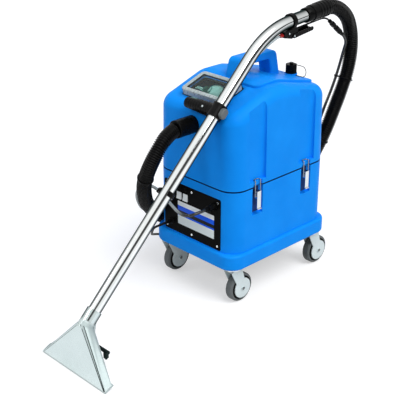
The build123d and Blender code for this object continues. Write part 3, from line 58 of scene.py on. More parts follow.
def place(x, y, z):
    return (Vector((x, y, z)) + shift) / 1000


def link(thing):
    scene.collection.objects.link(thing)
    return thing


# camera at the photograph's angle
view = {"eye": (2025.96, -1935.4, 1610.74), "tilt": 65.46, "turn": 45.85, "lens": 85.58, "sensor": 36.0}
cameraData = bpy.data.cameras.new("photoCamera")
cameraData.lens = view["lens"]
cameraData.sensor_width = view["sensor"]
cameraData.sensor_fit = "AUTO"
cameraData.clip_end = 60
camera = link(bpy.data.objects.new("photoCamera", cameraData))
camera.location = place(*view["eye"])
camera.rotation_euler = (math.radians(view["tilt"]), 0, math.radians(view["turn"]))
scene.camera = camera
scene.view_settings.view_transform = "Standard"


# node materials
class Finish:
    def __init__(self, name, tree=None):
        if tree is None:
            self.material = bpy.data.materials.new(name)
            self.material.use_nodes = True
            tree = self.material.node_tree
            self.shader = tree.nodes["Principled BSDF"]
        self.tree = tree
        self.coord = None

    def add(self, kind, **settings):
        node = self.tree.nodes.new(kind)
        for key, value in settings.items():
            setattr(node, key, value)
        return node

    def join(self, start, end):
        self.tree.links.new(start, end)

    def where(self):
        if self.coord is None:
            self.coord = self.add("ShaderNodeTexCoord").outputs["Object"]
        return self.coord

    def set(self, **values):
        for key, value in values.items():
            self.shader.inputs[key.replace("_", " ")].default_value = value
        return self

    def stretched(self, scale):
        mapping = self.add("ShaderNodeMapping")
        mapping.inputs["Scale"].default_value = scale
        self.join(self.where(), mapping.inputs["Vector"])
        return mapping.outputs["Vector"]

    def noise(self, scale, detail=3.0, rough=0.55, stretch=None):
        node = self.add("ShaderNodeTexNoise")
        node.inputs["Scale"].default_value = scale
        node.inputs["Detail"].default_value = detail
        node.inputs["Roughness"].default_value = rough
        self.join(self.stretched(stretch) if stretch else self.where(), node.inputs["Vector"])
        return node.outputs["Fac"]

    def ramp(self, source, stops, kind="LINEAR"):
        node = self.add("ShaderNodeValToRGB")
        band = node.color_ramp
        band.interpolation = kind
        while len(band.elements) < len(stops):
            band.elements.new(0.5)
        for element, (spot, colour) in zip(band.elements, stops):
            element.position = spot
            element.color = colour if len(colour) == 4 else (*colour, 1)
        self.join(source, node.inputs["Fac"])
        return node.outputs["Color"]

    def span(self, source, low, high, lowIn=0.3, highIn=0.7):
        node = self.add("ShaderNodeMapRange")
        node.inputs["From Min"].default_value = lowIn
        node.inputs["From Max"].default_value = highIn
        node.inputs["To Min"].default_value = low
        node.inputs["To Max"].default_value = high
        self.join(source, node.inputs["Value"])
        return node.outputs["Result"]

    def mix(self, factor, first, second):
        node = self.add("ShaderNodeMix", data_type="RGBA")
        self.join(factor, node.inputs["Factor"])
        for value, socket in ((first, node.inputs[6]), (second, node.inputs[7])):
            if isinstance(value, tuple):
                socket.default_value = (*value, 1)
            else:
                self.join(value, socket)
        return node.outputs[2]

    def sums(self, kind, first, second=None):
        node = self.add("ShaderNodeMath", operation=kind)
        for value, socket in ((first, node.inputs[0]), (second, node.inputs[1])):
            if isinstance(value, (int, float)):
                socket.default_value = value
            elif value is not None:
                self.join(value, socket)
        return node.outputs[0]

    def times(self, first, *others):
        for other in others:
            first = self.sums("MULTIPLY", first, other)
        return first

    def most(self, first, *others):
        for other in others:
            first = self.sums("MAXIMUM", first, other)
        return first

    def reach(self, first, second):
        return self.sums("SQRT", self.sums("ADD", self.times(first, first), self.times(second, second)))

    def along(self, direction, start):
        node = self.add("ShaderNodeVectorMath", operation="DOT_PRODUCT")
        moved = self.add("ShaderNodeVectorMath", operation="SUBTRACT")
        self.join(self.where(), moved.inputs[0])
        moved.inputs[1].default_value = start
        self.join(moved.outputs[0], node.inputs[0])
        node.inputs[1].default_value = direction
        return node.outputs["Value"]

    def away(self, direction, start):
        return self.sums("ABSOLUTE", self.along(direction, start))

    def normal(self, axis):
        split = self.add("ShaderNodeSeparateXYZ")
        self.join(self.add("ShaderNodeNewGeometry").outputs["Normal"], split.inputs[0])
        return split.outputs[axis]

    def facing(self, low, high):
        weight = self.add("ShaderNodeLayerWeight")
        weight.inputs["Blend"].default_value = 0.5
        return self.span(weight.outputs["Facing"], 0.0, 1.0, low, high)

    def tint(self, factor, colour):
        before = self.shader.inputs["Base Color"].links[0].from_socket
        return self.colour(self.mix(factor, before, colour))

    def colour(self, source):
        self.join(source, self.shader.inputs["Base Color"])
        return self

    def rough(self, source):
        self.join(source, self.shader.inputs["Roughness"])
        return self

    def bump(self, source, depth, strength=1.0):
        node = self.add("ShaderNodeBump")
        node.inputs["Distance"].default_value = depth
        node.inputs["Strength"].default_value = strength
        before = self.shader.inputs["Normal"].links
        if before:
            self.join(before[0].from_socket, node.inputs["Normal"])
        self.join(source, node.inputs["Height"])
        self.join(node.outputs["Normal"], self.shader.inputs["Normal"])
        return self


def moulded(name, dark, light, roughness, grain=900, depth=0.00012, patch=14):
    made = Finish(name)
    made.colour(made.ramp(made.noise(patch, 4), [(0.3, dark), (0.7, light)]))
    made.rough(made.span(made.noise(patch * 5), roughness - 0.06, roughness + 0.08))
    made.bump(made.noise(grain, 2), depth)
    return made


def metal(name, dark, light, roughness, stretch, scale=220, depth=0.00004):
    made = Finish(name)
    made.set(Metallic=1.0)
    made.colour(made.ramp(made.noise(9, 4), [(0.3, dark), (0.7, light)]))
    brushed = made.noise(scale, 3, 0.6, stretch)
    made.rough(made.span(brushed, roughness * 0.75, roughness * 1.3))
    made.bump(brushed, depth)
    return made


blueMould = {"dark": (0.003, 0.255, 0.86), "light": (0.006, 0.295, 0.93), "rough": 0.42, "grain": 700,
             "depth": 0.0001, "patch": 7, "gloss": 0.05, "turnsDown": (-0.9, -0.6), "underside": (0.02, 0.03, 0.05),
             "seam": 403, "seamShadeHalf": (0.0018, 0.0030), "seamShade": (0.001, 0.012, 0.07)}


def blueMoulding(name):
    spec = blueMould
    made = moulded(name, spec["dark"], spec["light"], spec["rough"], spec["grain"], spec["depth"], spec["patch"])
    made.set(Specular_IOR_Level=spec["gloss"])
    made.tint(made.span(made.normal("Z"), 1.0, 0.0, *spec["turnsDown"]), spec["underside"])  # shaded underside
    fromSeam = made.away((0, 0, 1), place(0, 0, spec["seam"]))
    made.tint(made.span(fromSeam, 1.0, 0.0, *spec["seamShadeHalf"]), spec["seamShade"])  # painted shade along the shut line
    return made


def black(name, level, roughness, gloss, grain=900, depth=0.00012):
    made = moulded(name, (level * 0.7,) * 3, (level * 1.4,) * 3, roughness, grain, depth)
    return made.set(Specular_IOR_Level=gloss)


def polished(name, dark, light, edge, roughness, rim, stretch, scale, depth):
    made = metal(name, dark, light, roughness, stretch, scale, depth)
    # painted reflection: the base colour darkens towards grazing edges
    made.tint(made.facing(*rim), edge)
    return made.set(Specular_Tint=(0.35, 0.38, 0.38, 1))


blueShell = blueMoulding("blueShell")
blackPlastic = black("blackPlastic", 0.0035, 0.26, 0.06)
gripBlack = black("gripBlack", 0.0035, 0.28, 0.10, 500, 0.0003)
blackPanel = black("blackPanel", 0.0022, 0.42, 0.025, 1300, 0.00008)
rubber = black("rubber", 0.004, 0.7, 0.05, 500)
hoseBlack = black("hoseBlack", 0.0018, 0.22, 0.11, 500)
cordRubber = black("cordRubber", 0.004, 0.36, 0.09, 600)
tyreRubber = moulded("tyreRubber", (0.095, 0.107, 0.107), (0.145, 0.157, 0.157), 0.6, 420)
tyreRubber.set(Specular_IOR_Level=0.2)
whitePlastic = moulded("whitePlastic", (0.80, 0.84, 0.83), (0.88, 0.92, 0.91), 0.34)
redPlastic = moulded("redPlastic", (0.42, 0.010, 0.008), (0.55, 0.018, 0.014), 0.32)
greyPlastic = moulded("greyPlastic", (0.10, 0.115, 0.115), (0.16, 0.175, 0.175), 0.42)
hubGrey = moulded("hubGrey", (0.012, 0.013, 0.014), (0.03, 0.031, 0.033), 0.5)
hubGrey.set(Specular_IOR_Level=0.2)
forkMetal = moulded("forkMetal", (0.60, 0.68, 0.67), (0.70, 0.78, 0.77), 0.32, 300, 0.00005)
motorMetal = metal("motorMetal", (0.40, 0.40, 0.41), (0.52, 0.52, 0.53), 0.42, (1, 1, 1))
steel = metal("steel", (0.62, 0.66, 0.66), (0.76, 0.80, 0.80), 0.22, (1, 1, 12))
bailSteel = metal("bailSteel", (0.22, 0.24, 0.24), (0.34, 0.37, 0.37), 0.3, (1, 1, 12))
# latch plates: dark navy as painted shade, for plates that sit in shadow in their pockets
latchPlateShade = metal("latchPlateShade", (0.010, 0.035, 0.13), (0.018, 0.055, 0.19), 0.5, (1, 1, 12))
# chrome and bright metal: each edge colour is a painted dark reflection at grazing edges
chrome = polished("chrome", (0.80, 0.83, 0.83), (0.90, 0.93, 0.93), (0.05, 0.06, 0.06), 0.06, (0.22, 0.52),
                  (40, 1, 1), 60, 0.000006)
brightMetal = polished("brightMetal", (0.58, 0.665, 0.66), (0.66, 0.74, 0.735), (0.10, 0.14, 0.14), 0.26,
                       (0.84, 0.97), (14, 1, 1), 160, 0.00002)

# floor head: satin sheet, polished collar with a painted dark reflection at its edges, duller end walls with
# painted shade
headMetal = {"neck": (106, -533.4, 138), "alongNeck": (0, 0.7145, 0.6997), "collarFrom": (0.006, 0.016),
             "polish": 0.17, "collarReflectionRim": (0.30, 0.62), "edge": (0.05, 0.06, 0.06), "endTurn": (0.10, 0.24),
             "endShare": 0.9, "endShade": (0.46, 0.53, 0.53), "endDull": 0.45}
fromNeck = brightMetal.along(headMetal["alongNeck"], place(*headMetal["neck"]))
onCollar = brightMetal.span(fromNeck, 0.0, 1.0, *headMetal["collarFrom"])
turned = brightMetal.span(brightMetal.normal("X"), 0.0, headMetal["endShare"], *headMetal["endTurn"])
endWall = brightMetal.times(turned, brightMetal.sums("SUBTRACT", 1.0, onCollar))
satin = brightMetal.shader.inputs["Roughness"].links[0].from_socket
polish = brightMetal.sums("SUBTRACT", satin, brightMetal.times(onCollar, headMetal["polish"]))
brightMetal.rough(brightMetal.sums("ADD", polish, brightMetal.times(endWall, headMetal["endDull"])))
# painted reflection: the collar's colour darkens towards its grazing edges
brightMetal.tint(brightMetal.times(onCollar, brightMetal.facing(*headMetal["collarReflectionRim"])), headMetal["edge"])
# painted shade: the end wall facing +X is darkened
brightMetal.tint(endWall, headMetal["endShade"])
# near-black metal: painted shade on the head's fold beads; the jet manifold wears it too
foldShadeAndManifold = metal("foldShadeAndManifold", (0.010, 0.018, 0.018), (0.025, 0.038, 0.038), 0.5, (1, 1, 1))

solutionGrey = moulded("solutionGrey", (0.30, 0.345, 0.34), (0.42, 0.47, 0.465), 0.2, 500)
solutionGrey.tint(solutionGrey.span(solutionGrey.along((1, 0, 0), (0, 0, 0)), 0.0, 1.0, -0.02, 0.03),
                  (0.012, 0.013, 0.013))  # darker towards the coupler and the wand
# painted shade: the hose darkens towards its grazing edges
solutionGrey.tint(solutionGrey.facing(0.45, 0.85), (0.02, 0.025, 0.025))
clearLine = moulded("clearLine", (0.52, 0.60, 0.59), (0.64, 0.72, 0.71), 0.2, 500)
# painted shade: the line darkens towards its grazing edges
clearLine.tint(clearLine.facing(0.4, 0.85), (0.05, 0.06, 0.06))

# the lid's own plane: its middle, up the slope and out of the roof
lid = {"middle": (-11, 99, 674.532), "slope": math.atan2(63, 186), "length": 174, "breadth": 108, "corner": 14}
upSlope = Vector((0, math.cos(lid["slope"]), math.sin(lid["slope"])))
outOfRoof = Vector((0, -math.sin(lid["slope"]), math.cos(lid["slope"])))


def onLid(x, y, z):
    return place(*(Vector(lid["middle"]) + Vector((x, 0, 0)) + upSlope * y + outOfRoof * z))


def underLid(made, half, top):
    middle = onLid(0, 0, 0)
    return made.times(made.sums("LESS_THAN", made.away((1, 0, 0), middle), half[0]),
                      made.sums("LESS_THAN", made.away(upSlope, middle), half[1]),
                      made.sums("LESS_THAN", made.along(outOfRoof, middle), top))


clearLid = Finish("clearLid")
clearLid.set(Base_Color=(0.54, 0.76, 0.73, 1), Transmission_Weight=1.0, IOR=1.2)
clearLid.rough(clearLid.span(clearLid.noise(60), 0.02, 0.08))
clearLid.bump(clearLid.noise(40, 2), 0.0001)
frosted = moulded("frosted", (0.66, 0.76, 0.75), (0.78, 0.87, 0.86), 0.3, 260, 0.0002, 30)
frosted.set(Transmission_Weight=0.45, IOR=1.2)
# painted shade: the frame is near-black where it lies over the tank's mouth, for the shaded inside seen through it
rimInsideShade = {"half": (0.0878, 0.0548), "top": 0.0225, "dark": (0.008, 0.022, 0.022)}
frosted.tint(underLid(frosted, rimInsideShade["half"], rimInsideShade["top"]), rimInsideShade["dark"])

# white scoop with a sea-green cup beside it
scoop = {"cup": (-8, -14, 0), "ring": (0.0138, 0.0176), "green": (0.015, 0.20, 0.16)}
scoopWhite = moulded("scoopWhite", (0.52, 0.60, 0.59), (0.64, 0.72, 0.70), 0.4)
cup = onLid(*scoop["cup"])
fromCup = scoopWhite.reach(scoopWhite.along((1, 0, 0), cup), scoopWhite.along(upSlope, cup))
scoopWhite.tint(scoopWhite.times(scoopWhite.sums("GREATER_THAN", fromCup, scoop["ring"][0]),
                                 scoopWhite.sums("LESS_THAN", fromCup, scoop["ring"][1])), scoop["green"])

# tank: blue outside, painted shade inside
tankInsideShade = {"middle": 230, "latchAway": 0.1175, "latchHalf": 0.044, "pocketFace": 0.162, "flat": (0.119, 0.170),
              "draft": 0.01746, "corner": 0.06456, "roof": 0.602, "mouth": (0.0880, 0.0550), "mouthTop": 0.006,
              "dark": (0.003, 0.010, 0.014)}
tankShell = blueMoulding("tankShell")
tankMiddle = place(0, tankInsideShade["middle"], 0)
sideWay = tankShell.away((1, 0, 0), tankMiddle)
depthWay = tankShell.away((0, 1, 0), tankMiddle)
heightWay = tankShell.along((0, 0, 1), tankMiddle)
fromLatch = tankShell.sums("ABSOLUTE", tankShell.sums("SUBTRACT", depthWay, tankInsideShade["latchAway"]))
offLatch = tankShell.most(tankShell.sums("GREATER_THAN", fromLatch, tankInsideShade["latchHalf"]),
                          tankShell.sums("LESS_THAN", sideWay, tankInsideShade["pocketFace"]))
beyond = []
for way, flat in zip((sideWay, depthWay), tankInsideShade["flat"]):
    beyond.append(tankShell.most(tankShell.sums("SUBTRACT", way, flat), 0.0))
outward = tankShell.sums("ADD", tankShell.reach(*beyond), tankShell.times(heightWay, tankInsideShade["draft"]))
inside = tankShell.times(tankShell.sums("LESS_THAN", outward, tankInsideShade["corner"]), offLatch,
                         tankShell.sums("LESS_THAN", heightWay, tankInsideShade["roof"]))
mouth = underLid(tankShell, tankInsideShade["mouth"], tankInsideShade["mouthTop"])
# painted shade: the tank's inside and the mouth under the lid are tinted near-black
tankShell.tint(tankShell.most(inside, mouth), tankInsideShade["dark"])

finishes = {
    "blue_shell": blueShell, "black_panel": blackPanel, "black_plastic": blackPlastic,
    "motor_metal": motorMetal, "steel": steel, "rubber": rubber, "white_plastic": whitePlastic,
    "clear_lid": clearLid, "hose_black": hoseBlack, "hose_grey": solutionGrey, "clear_line": clearLine,
    "cord_rubber": cordRubber, "red_plastic": redPlastic, "grey_plastic": greyPlastic, "chrome": chrome,
    "bright_metal": brightMetal, "fork_metal": forkMetal, "hub_grey": hubGrey, "tyre": tyreRubber,
}
ownFinish = {"recovery_tank": tankShell, "inlet_deflector": scoopWhite, "latch_plates": latchPlateShade,
             "front_grip": gripBlack, "jet_manifold": foldShadeAndManifold}
for corner in cornerNames:
    ownFinish["latch_bail_" + corner] = bailSteel
slotOf = {}
for part in frame["record"]["subparts"]:
    slotOf[part["node"]] = part["material_slot"]


def paint(thing, finish):
    thing.data.materials.clear()
    thing.data.materials.append(finish.material)


for name, thing in nodes.items():
    paint(thing, ownFinish.get(name) or finishes.get(slotOf.get(name), blackPlastic))
print("materials on", len(nodes), "nodes")


# lines of the cords: smooth splines through the route's control points
def routeSpline(name, points, fineness=8):
    curve = bpy.data.curves.new(name, "CURVE")
    curve.dimensions = "3D"
    curve.resolution_u = fineness
    spline = curve.splines.new("NURBS")
    spline.points.add(len(points) - 1)
    for knot, point in zip(spline.points, points):
        knot.co = (*point, 1)
    spline.order_u = 3
    spline.use_endpoint_u = True
    return curve


def readLine(name, points, fineness=24):
    holder = link(bpy.data.objects.new(name + "Line", routeSpline(name + "Line", points, fineness)))
    bpy.context.view_layer.update()
    mesh = bpy.data.meshes.new_from_object(holder.evaluated_get(bpy.context.evaluated_depsgraph_get()))
    line = np.array([vertex.co[:] for vertex in mesh.vertices])
    curve = holder.data
    bpy.data.objects.remove(holder)
    bpy.data.curves.remove(curve)
    bpy.data.meshes.remove(mesh)
    return line


def lineLength(line):
    return float(np.linalg.norm(np.diff(line, axis=0), axis=1).sum())


def walkLine(line, spots):
    steps = np.concatenate([[0], np.cumsum(np.linalg.norm(np.diff(line, axis=0), axis=1))])
    return np.stack([np.interp(spots, steps, line[:, axis]) for axis in range(3)], 1)


def tubeMesh(name, line, spots, radii, sides, finish, smooth=True):
    centres = walkLine(line, spots)
    reach = (spots[-1] - spots[0]) / len(spots) * 2
    ahead = walkLine(line, np.clip(spots + reach, 0, lineLength(line)))
    behind = walkLine(line, np.clip(spots - reach, 0, lineLength(line)))
    heading = ahead - behind
    heading /= np.linalg.norm(heading, axis=1)[:, None]
    across = np.cross(heading[0], (0.3, 0.2, 1.0))
    corners = []
    for centre, tangent, radius in zip(centres, heading, radii):
        across = across - tangent * across.dot(tangent)
        across /= np.linalg.norm(across)
        other = np.cross(tangent, across)
        for side in range(sides):
            turn = 2 * math.pi * side / sides
            corners.append(centre + radius * (math.cos(turn) * across + math.sin(turn) * other))
    faces = []
    for ring in range(len(centres) - 1):
        for side in range(sides):
            here, there = ring * sides, (ring + 1) * sides
            nextSide = (side + 1) % sides
            faces.append((here + side, here + nextSide, there + nextSide, there + side))
    faces.append(tuple(range(sides))[::-1])
    faces.append(tuple((len(centres) - 1) * sides + side for side in range(sides)))
    mesh = bpy.data.meshes.new(name)
    mesh.from_pydata([tuple(corner) for corner in corners], [], faces)
    for face in mesh.polygons:
        face.use_smooth = smooth and len(face.vertices) == 4
    mesh.materials.append(finish.material)
    return link(bpy.data.objects.new(name, mesh))


# vacuum hose: ribbed, from the tank's inlet round behind the machine and up to the wand
vacuumHose = {
    "route": [
        (-4, -72, 591), (-4, -100, 582), (-2, -132, 560), (-10, -156, 519), (-28, -168, 470),
        (-56, -160, 418), (-87, -132, 365), (-120, -98, 317), (-154, -53.5, 274), (-187, -10, 232),
        (-217, 42, 192), (-230, 105, 150), (-245, 175, 110), (-262, 255, 68), (-278, 345, 38),
        (-286, 440, 26), (-272, 525, 26), (-225, 580, 34), (-165, 595, 70), (-105, 580, 120),
        (-50, 555, 178), (0, 530, 243), (45, 517, 315), (80, 520, 390), (100, 545, 460),
        (100.3, 581, 525), (97.6, 622.3, 590), (98.6, 652.3, 660), (98.6, 660.3, 735), (98.6, 647.3, 805),
        (102, 611, 858), (106, 535.4, 899.5), (106, 473.7, 894.1),
    ],
    "crest": 0.0242, "valley": 0.0200, "ribs": 340, "ringsPerRib": 6, "sides": 28,
}


def bendWithWand(piece):
    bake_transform(piece)


def ribbedHose(spec):
    line = readLine("vacuumHose", [place(*point) for point in spec["route"]])
    whole = lineLength(line)
    rings = spec["ribs"] * spec["ringsPerRib"]
    share = np.arange(rings + 1) / rings
    phase = (share * spec["ribs"]) % 1.0
    swell = np.clip(1.6 * np.cos(2 * math.pi * (phase - 0.45)) + 0.35, -1, 1) * 0.5 + 0.5
    radii = spec["valley"] + (spec["crest"] - spec["valley"]) * swell
    hose = tubeMesh("vacuumHose", line, share * whole, radii, spec["sides"], hoseBlack)
    return hose, line, whole


hose, hoseLine, hoseLength = ribbedHose(vacuumHose)
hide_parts("vacuum_hose")
bendWithWand(hose)
print("vacuum hose", round(hoseLength, 3), "m")

# solution hose: smooth and thin, from the panel's coupler to the wand's fitting
solutionHose = {
    "route": [
        (99, -41, 342), (99, -71, 342), (82, -97, 333), (48, -98, 327), (8, -92, 336), (-34, -88, 356),
        (-74, -88, 375), (-112, -96, 382), (-143, -106, 366), (-171, -95, 328), (-192, -72, 285),
        (-221, -28, 234), (-250, 33, 194), (-263, 101, 155), (-277, 174, 120), (-291, 257, 86),
        (-300, 348, 63), (-298, 443, 58), (-273, 523, 60), (-231, 569, 66), (-185, 595, 98),
        (-126, 587, 145), (-72, 566, 201), (-25, 540, 263), (15, 521, 331), (59.4, 498.1, 403.7),
        (79.4, 523.1, 473.7), (77.3, 558, 537), (74.3, 600.8, 599.2), (75.3, 630.8, 669.2),
        (91, 626, 724), (106, 623.5, 767.0), (106, 592.2, 792.0),
    ],
    "radius": 0.005, "step": 0.005, "sides": 16,
}
thinLine = readLine("solutionHose", [place(*point) for point in solutionHose["route"]])
thinLength = lineLength(thinLine)
thinSpots = np.linspace(0, thinLength, int(thinLength / solutionHose["step"]))
thinHose = tubeMesh("solutionHose", thinLine, thinSpots, np.full(len(thinSpots), solutionHose["radius"]),
                    solutionHose["sides"], solutionGrey)
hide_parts("solution_hose")
bendWithWand(thinHose)
print("solution hose", round(thinLength, 3), "m")

# ties that hold the two hoses together, and one on the vacuum hose alone
hoseTies = {
    "legs": [(23, 25), (26, 28), (4, None)],  # legs of the two routes that each tie is on
    "hoseRound": 24.3, "thinRound": 5.3, "wall": 2.5, "width": 6.0, "sides": 64,
}


def hullPoints(bigRadius, smallRadius, spacing, sides):
    if spacing == 0:
        turns = [2 * math.pi * side / sides for side in range(sides)]
        return [(bigRadius * math.cos(turn), bigRadius * math.sin(turn)) for turn in turns]
    lean = math.acos((bigRadius - smallRadius) / spacing)
    half = sides // 2
    points = []
    for side in range(half):
        turn = lean + (2 * math.pi - 2 * lean) * side / (half - 1)
        points.append((bigRadius * math.cos(turn), bigRadius * math.sin(turn)))
    for side in range(half):
        turn = -lean + 2 * lean * side / (half - 1)
        points.append((spacing + smallRadius * math.cos(turn), smallRadius * math.sin(turn)))
    return points


def legMiddle(route, index):
    return (Vector(route[index]) + Vector(route[index + 1])) / 2


def skin(build, rings, wrap=False, ends=False):
    made = [[build.verts.new(point) for point in ring] for ring in rings]
    pairs = list(zip(made, made[1:]))
    if wrap:
        pairs.append((made[-1], made[0]))
    for here, there in pairs:
        for side in range(len(here)):
            nextSide = (side + 1) % len(here)
            build.faces.new((here[side], here[nextSide], there[nextSide], there[side]))
    if ends:
        build.faces.new(made[0][::-1])
        build.faces.new(made[-1])


def meshPiece(name, build, finish, crease=40):
    bmesh.ops.recalc_face_normals(build, faces=build.faces)
    mesh = bpy.data.meshes.new(name)
    build.to_mesh(mesh)
    build.free()
    for face in mesh.polygons:
        face.use_smooth = True
    mesh.set_sharp_from_angle(angle=math.radians(crease))
    mesh.materials.append(finish.material)
    return link(bpy.data.objects.new(name, mesh))


def tieBands(spec):
    build = bmesh.new()
    for leg, thinLeg in spec["legs"]:
        route = vacuumHose["route"]
        run = (Vector(route[leg + 1]) - Vector(route[leg])).normalized()
        middle = legMiddle(route, leg)
        aside = legMiddle(solutionHose["route"], thinLeg) - middle if thinLeg else run.orthogonal()
        aside = aside - run * aside.dot(run)
        spacing = aside.length if thinLeg else 0
        aside.normalize()
        other = run.cross(aside)
        half = spec["width"] / 2
        rings = []
        for wall, rise in ((0, -half), (0.7, -half), (1, -half * 0.6), (1, half * 0.6), (0.7, half), (0, half)):
            loop = hullPoints(spec["hoseRound"] + spec["wall"] * wall, spec["thinRound"] + spec["wall"] * wall,
                              spacing, spec["sides"])
            rings.append([place(*(middle + aside * u + other * v + run * rise)) for u, v in loop])
        skin(build, rings, wrap=True)
    return meshPiece("hoseTies", build, blackPlastic)


ties = tieBands(hoseTies)
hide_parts("hose_ties")
bendWithWand(ties)

# mains cord: out of its gland, round the left side on the floor, into a tied coil behind
mainsCord = {
    "route": [
        (-102, -23, 224), (-102, -49, 224), (-124, -63, 210), (-152, -46, 181), (-181, -24, 151),
        (-209, 5, 131), (-228, 48, 110), (-240, 97, 86), (-244, 152, 54), (-242, 208, 24),
        (-240, 265, 4), (-239, 335, 4), (-241, 405, 4), (-234, 465, 4), (-200, 516, 4), (-135, 525, 5.6),
    ],
    "tail": [(-120, 659, 32), (-187.5, 659, 18), (-210, 659, 18)],
    "radius": 4.0,
}
mainsCoil = {"x": -75, "y": 592, "bottom": 5.6, "outside": 67.0, "perQuarter": 2.2, "pitch": 8.8,
             "layers": 4, "layerQuarters": 18, "perTurn": 16}


def coilPoints(spec):
    quarters = spec["layers"] * spec["layerQuarters"] + 2 * (spec["layers"] - 1)
    stride = 4 / spec["perTurn"]
    swell = 1 / math.cos(math.pi / spec["perTurn"])  # the spline runs inside its control points
    points = []
    for index in range(int(quarters / stride) + 1):
        quarter = index * stride
        layer, step = divmod(quarter, spec["layerQuarters"] + 2)
        climbing = max(0.0, step - spec["layerQuarters"])
        travel = min(step, spec["layerQuarters"]) + (climbing if climbing <= 1 else 2 - climbing)
        drop = travel * spec["perQuarter"]
        furthest = spec["layerQuarters"] * spec["perQuarter"]
        radius = spec["outside"] - drop if layer % 2 == 0 else spec["outside"] - furthest + drop
        height = spec["bottom"] + (layer + climbing / 2) * spec["pitch"]
        turn = math.pi / 2 * (quarter - 1)
        points.append((spec["x"] + swell * radius * math.cos(turn), spec["y"] + swell * radius * math.sin(turn),
                       height))
    return points


# band that ties the coil
coilTie = {"middle": (-27.8, 592, 18.8), "inside": (52.2, 34.6), "corner": 8.0, "width": 12.0,
           "profile": [(0.1, -1.0), (1.2, -1.0), (1.7, -0.75), (1.7, 0.75), (1.2, 1.0), (0.1, 1.0)]}


def roundedLoop(length, breadth, corner, perCorner=7):
    points = []
    for quarter, (signX, signY) in enumerate(((1, 1), (-1, 1), (-1, -1), (1, -1))):
        for step in range(perCorner + 1):
            turn = math.pi / 2 * (quarter + step / perCorner)
            points.append((signX * (length / 2 - corner) + corner * math.cos(turn),
                           signY * (breadth / 2 - corner) + corner * math.sin(turn)))
    return points


def tiedBand(spec):
    build = bmesh.new()
    rings = []
    for out, rise in spec["profile"]:
        loop = roundedLoop(spec["inside"][0] + 2 * out, spec["inside"][1] + 2 * out, spec["corner"] + out)
        rings.append([place(*(Vector(spec["middle"]) + Vector((x, rise * spec["width"] / 2, z)))) for x, z in loop])
    skin(build, rings, wrap=True)
    return meshPiece("coilBand", build, blackPlastic)


coilBand = tiedBand(coilTie)
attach(coilBand, "machine")
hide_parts("coil_band")

cordPoints = [place(*point) for point in mainsCord["route"] + coilPoints(mainsCoil) + mainsCord["tail"]]
cordLength = lineLength(readLine("mainsCord", cordPoints))
cordCurve = routeSpline("mainsCord", cordPoints, 6)
cordCurve.bevel_depth = mainsCord["radius"] / 1000
cordCurve.bevel_resolution = 5
cordCurve.use_fill_caps = True
cordCurve.materials.append(cordRubber.material)
cord = link(bpy.data.objects.new("mainsCord", cordCurve))
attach(cord, "machine")
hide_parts("mains_cord", "mains_coil")
print("mains cord", round(cordLength, 3), "m")


# turned and fitted pieces
def turnedForm(build, centre, axis, profile, sides=24):
    axis = Vector(axis).normalized()
    aside = axis.orthogonal().normalized()
    other = axis.cross(aside)
    rings = []
    for radius, rise in profile:
        ring = []
        for side in range(sides):
            turn = 2 * math.pi * side / sides
            out = aside * math.cos(turn) + other * math.sin(turn)
            ring.append(place(*(Vector(centre) + axis * rise + out * radius)))
        rings.append(ring)
    skin(build, rings, ends=True)


def bead(build, start, end, radius, sides=8):
    start, end = Vector(start), Vector(end)
    run = (end - start).length
    profile = [(radius * 0.3, -radius), (radius, 0), (radius, run), (radius * 0.3, run + radius)]
    turnedForm(build, start, end - start, profile, sides)


def fitted(piece, body, slot, *nodesStoodFor):
    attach(piece, body)
    if nodesStoodFor:
        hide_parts(*nodesStoodFor)
    return piece


# tapered boot where the mains cord leaves the panel
cordBoot = {"exit": (-102, -1, 224), "collar": [(10.9, 0), (11.25, 0.4), (11.25, 2.3), (10.6, 2.9), (9.0, 3.4)],
            "ribs": 5, "first": 8.6, "last": 5.6, "start": 3.4, "end": 25.0, "groove": 1.0, "mouth": 4.3}


def ribbedBoot(spec):
    profile = list(spec["collar"])
    run = (spec["end"] - spec["start"]) / spec["ribs"]
    for rib in range(spec["ribs"]):
        size = spec["first"] + (spec["last"] - spec["first"]) * rib / (spec["ribs"] - 1)
        rise = spec["start"] + run * rib
        profile += [(size, rise + run * 0.1), (size, rise + run * 0.62), (size - spec["groove"], rise + run * 0.7),
                    (size - spec["groove"], rise + run * 0.95)]
    build = bmesh.new()
    turnedForm(build, spec["exit"], (0, -1, 0), profile + [(spec["mouth"], spec["end"])], 28)
    return meshPiece("cordBoot", build, blackPlastic)


fitted(ribbedBoot(cordBoot), "machine", "black_plastic", "cord_gland")

# printed label on the panel: plain bands
panelLabel = {"left": -71.5, "right": 97.5, "bottom": 225.0, "top": 308.0,
              "face": -1.0, "thick": 0.6, "corner": 2.5}
labelPrint = Finish("labelPrint")
labelRise = labelPrint.span(labelPrint.along((0, 0, 1), place(0, 0, panelLabel["bottom"])), 0.0, 1.0, 0.0, 0.083)
labelPrint.colour(labelPrint.ramp(labelRise, [
    (0.0, (0.80, 0.88, 0.86)), (0.373, (0.002, 0.11, 0.86)), (0.446, (0.004, 0.005, 0.006)),
    (0.602, (0.002, 0.11, 0.86)), (0.807, (0.86, 0.90, 0.90))], "CONSTANT"))
labelPrint.tint(labelPrint.span(labelPrint.noise(300, 3), 0.0, 0.05), (0.2, 0.23, 0.23))
labelPrint.rough(labelPrint.span(labelPrint.noise(90), 0.3, 0.42))
labelPrint.set(Specular_IOR_Level=0.1)


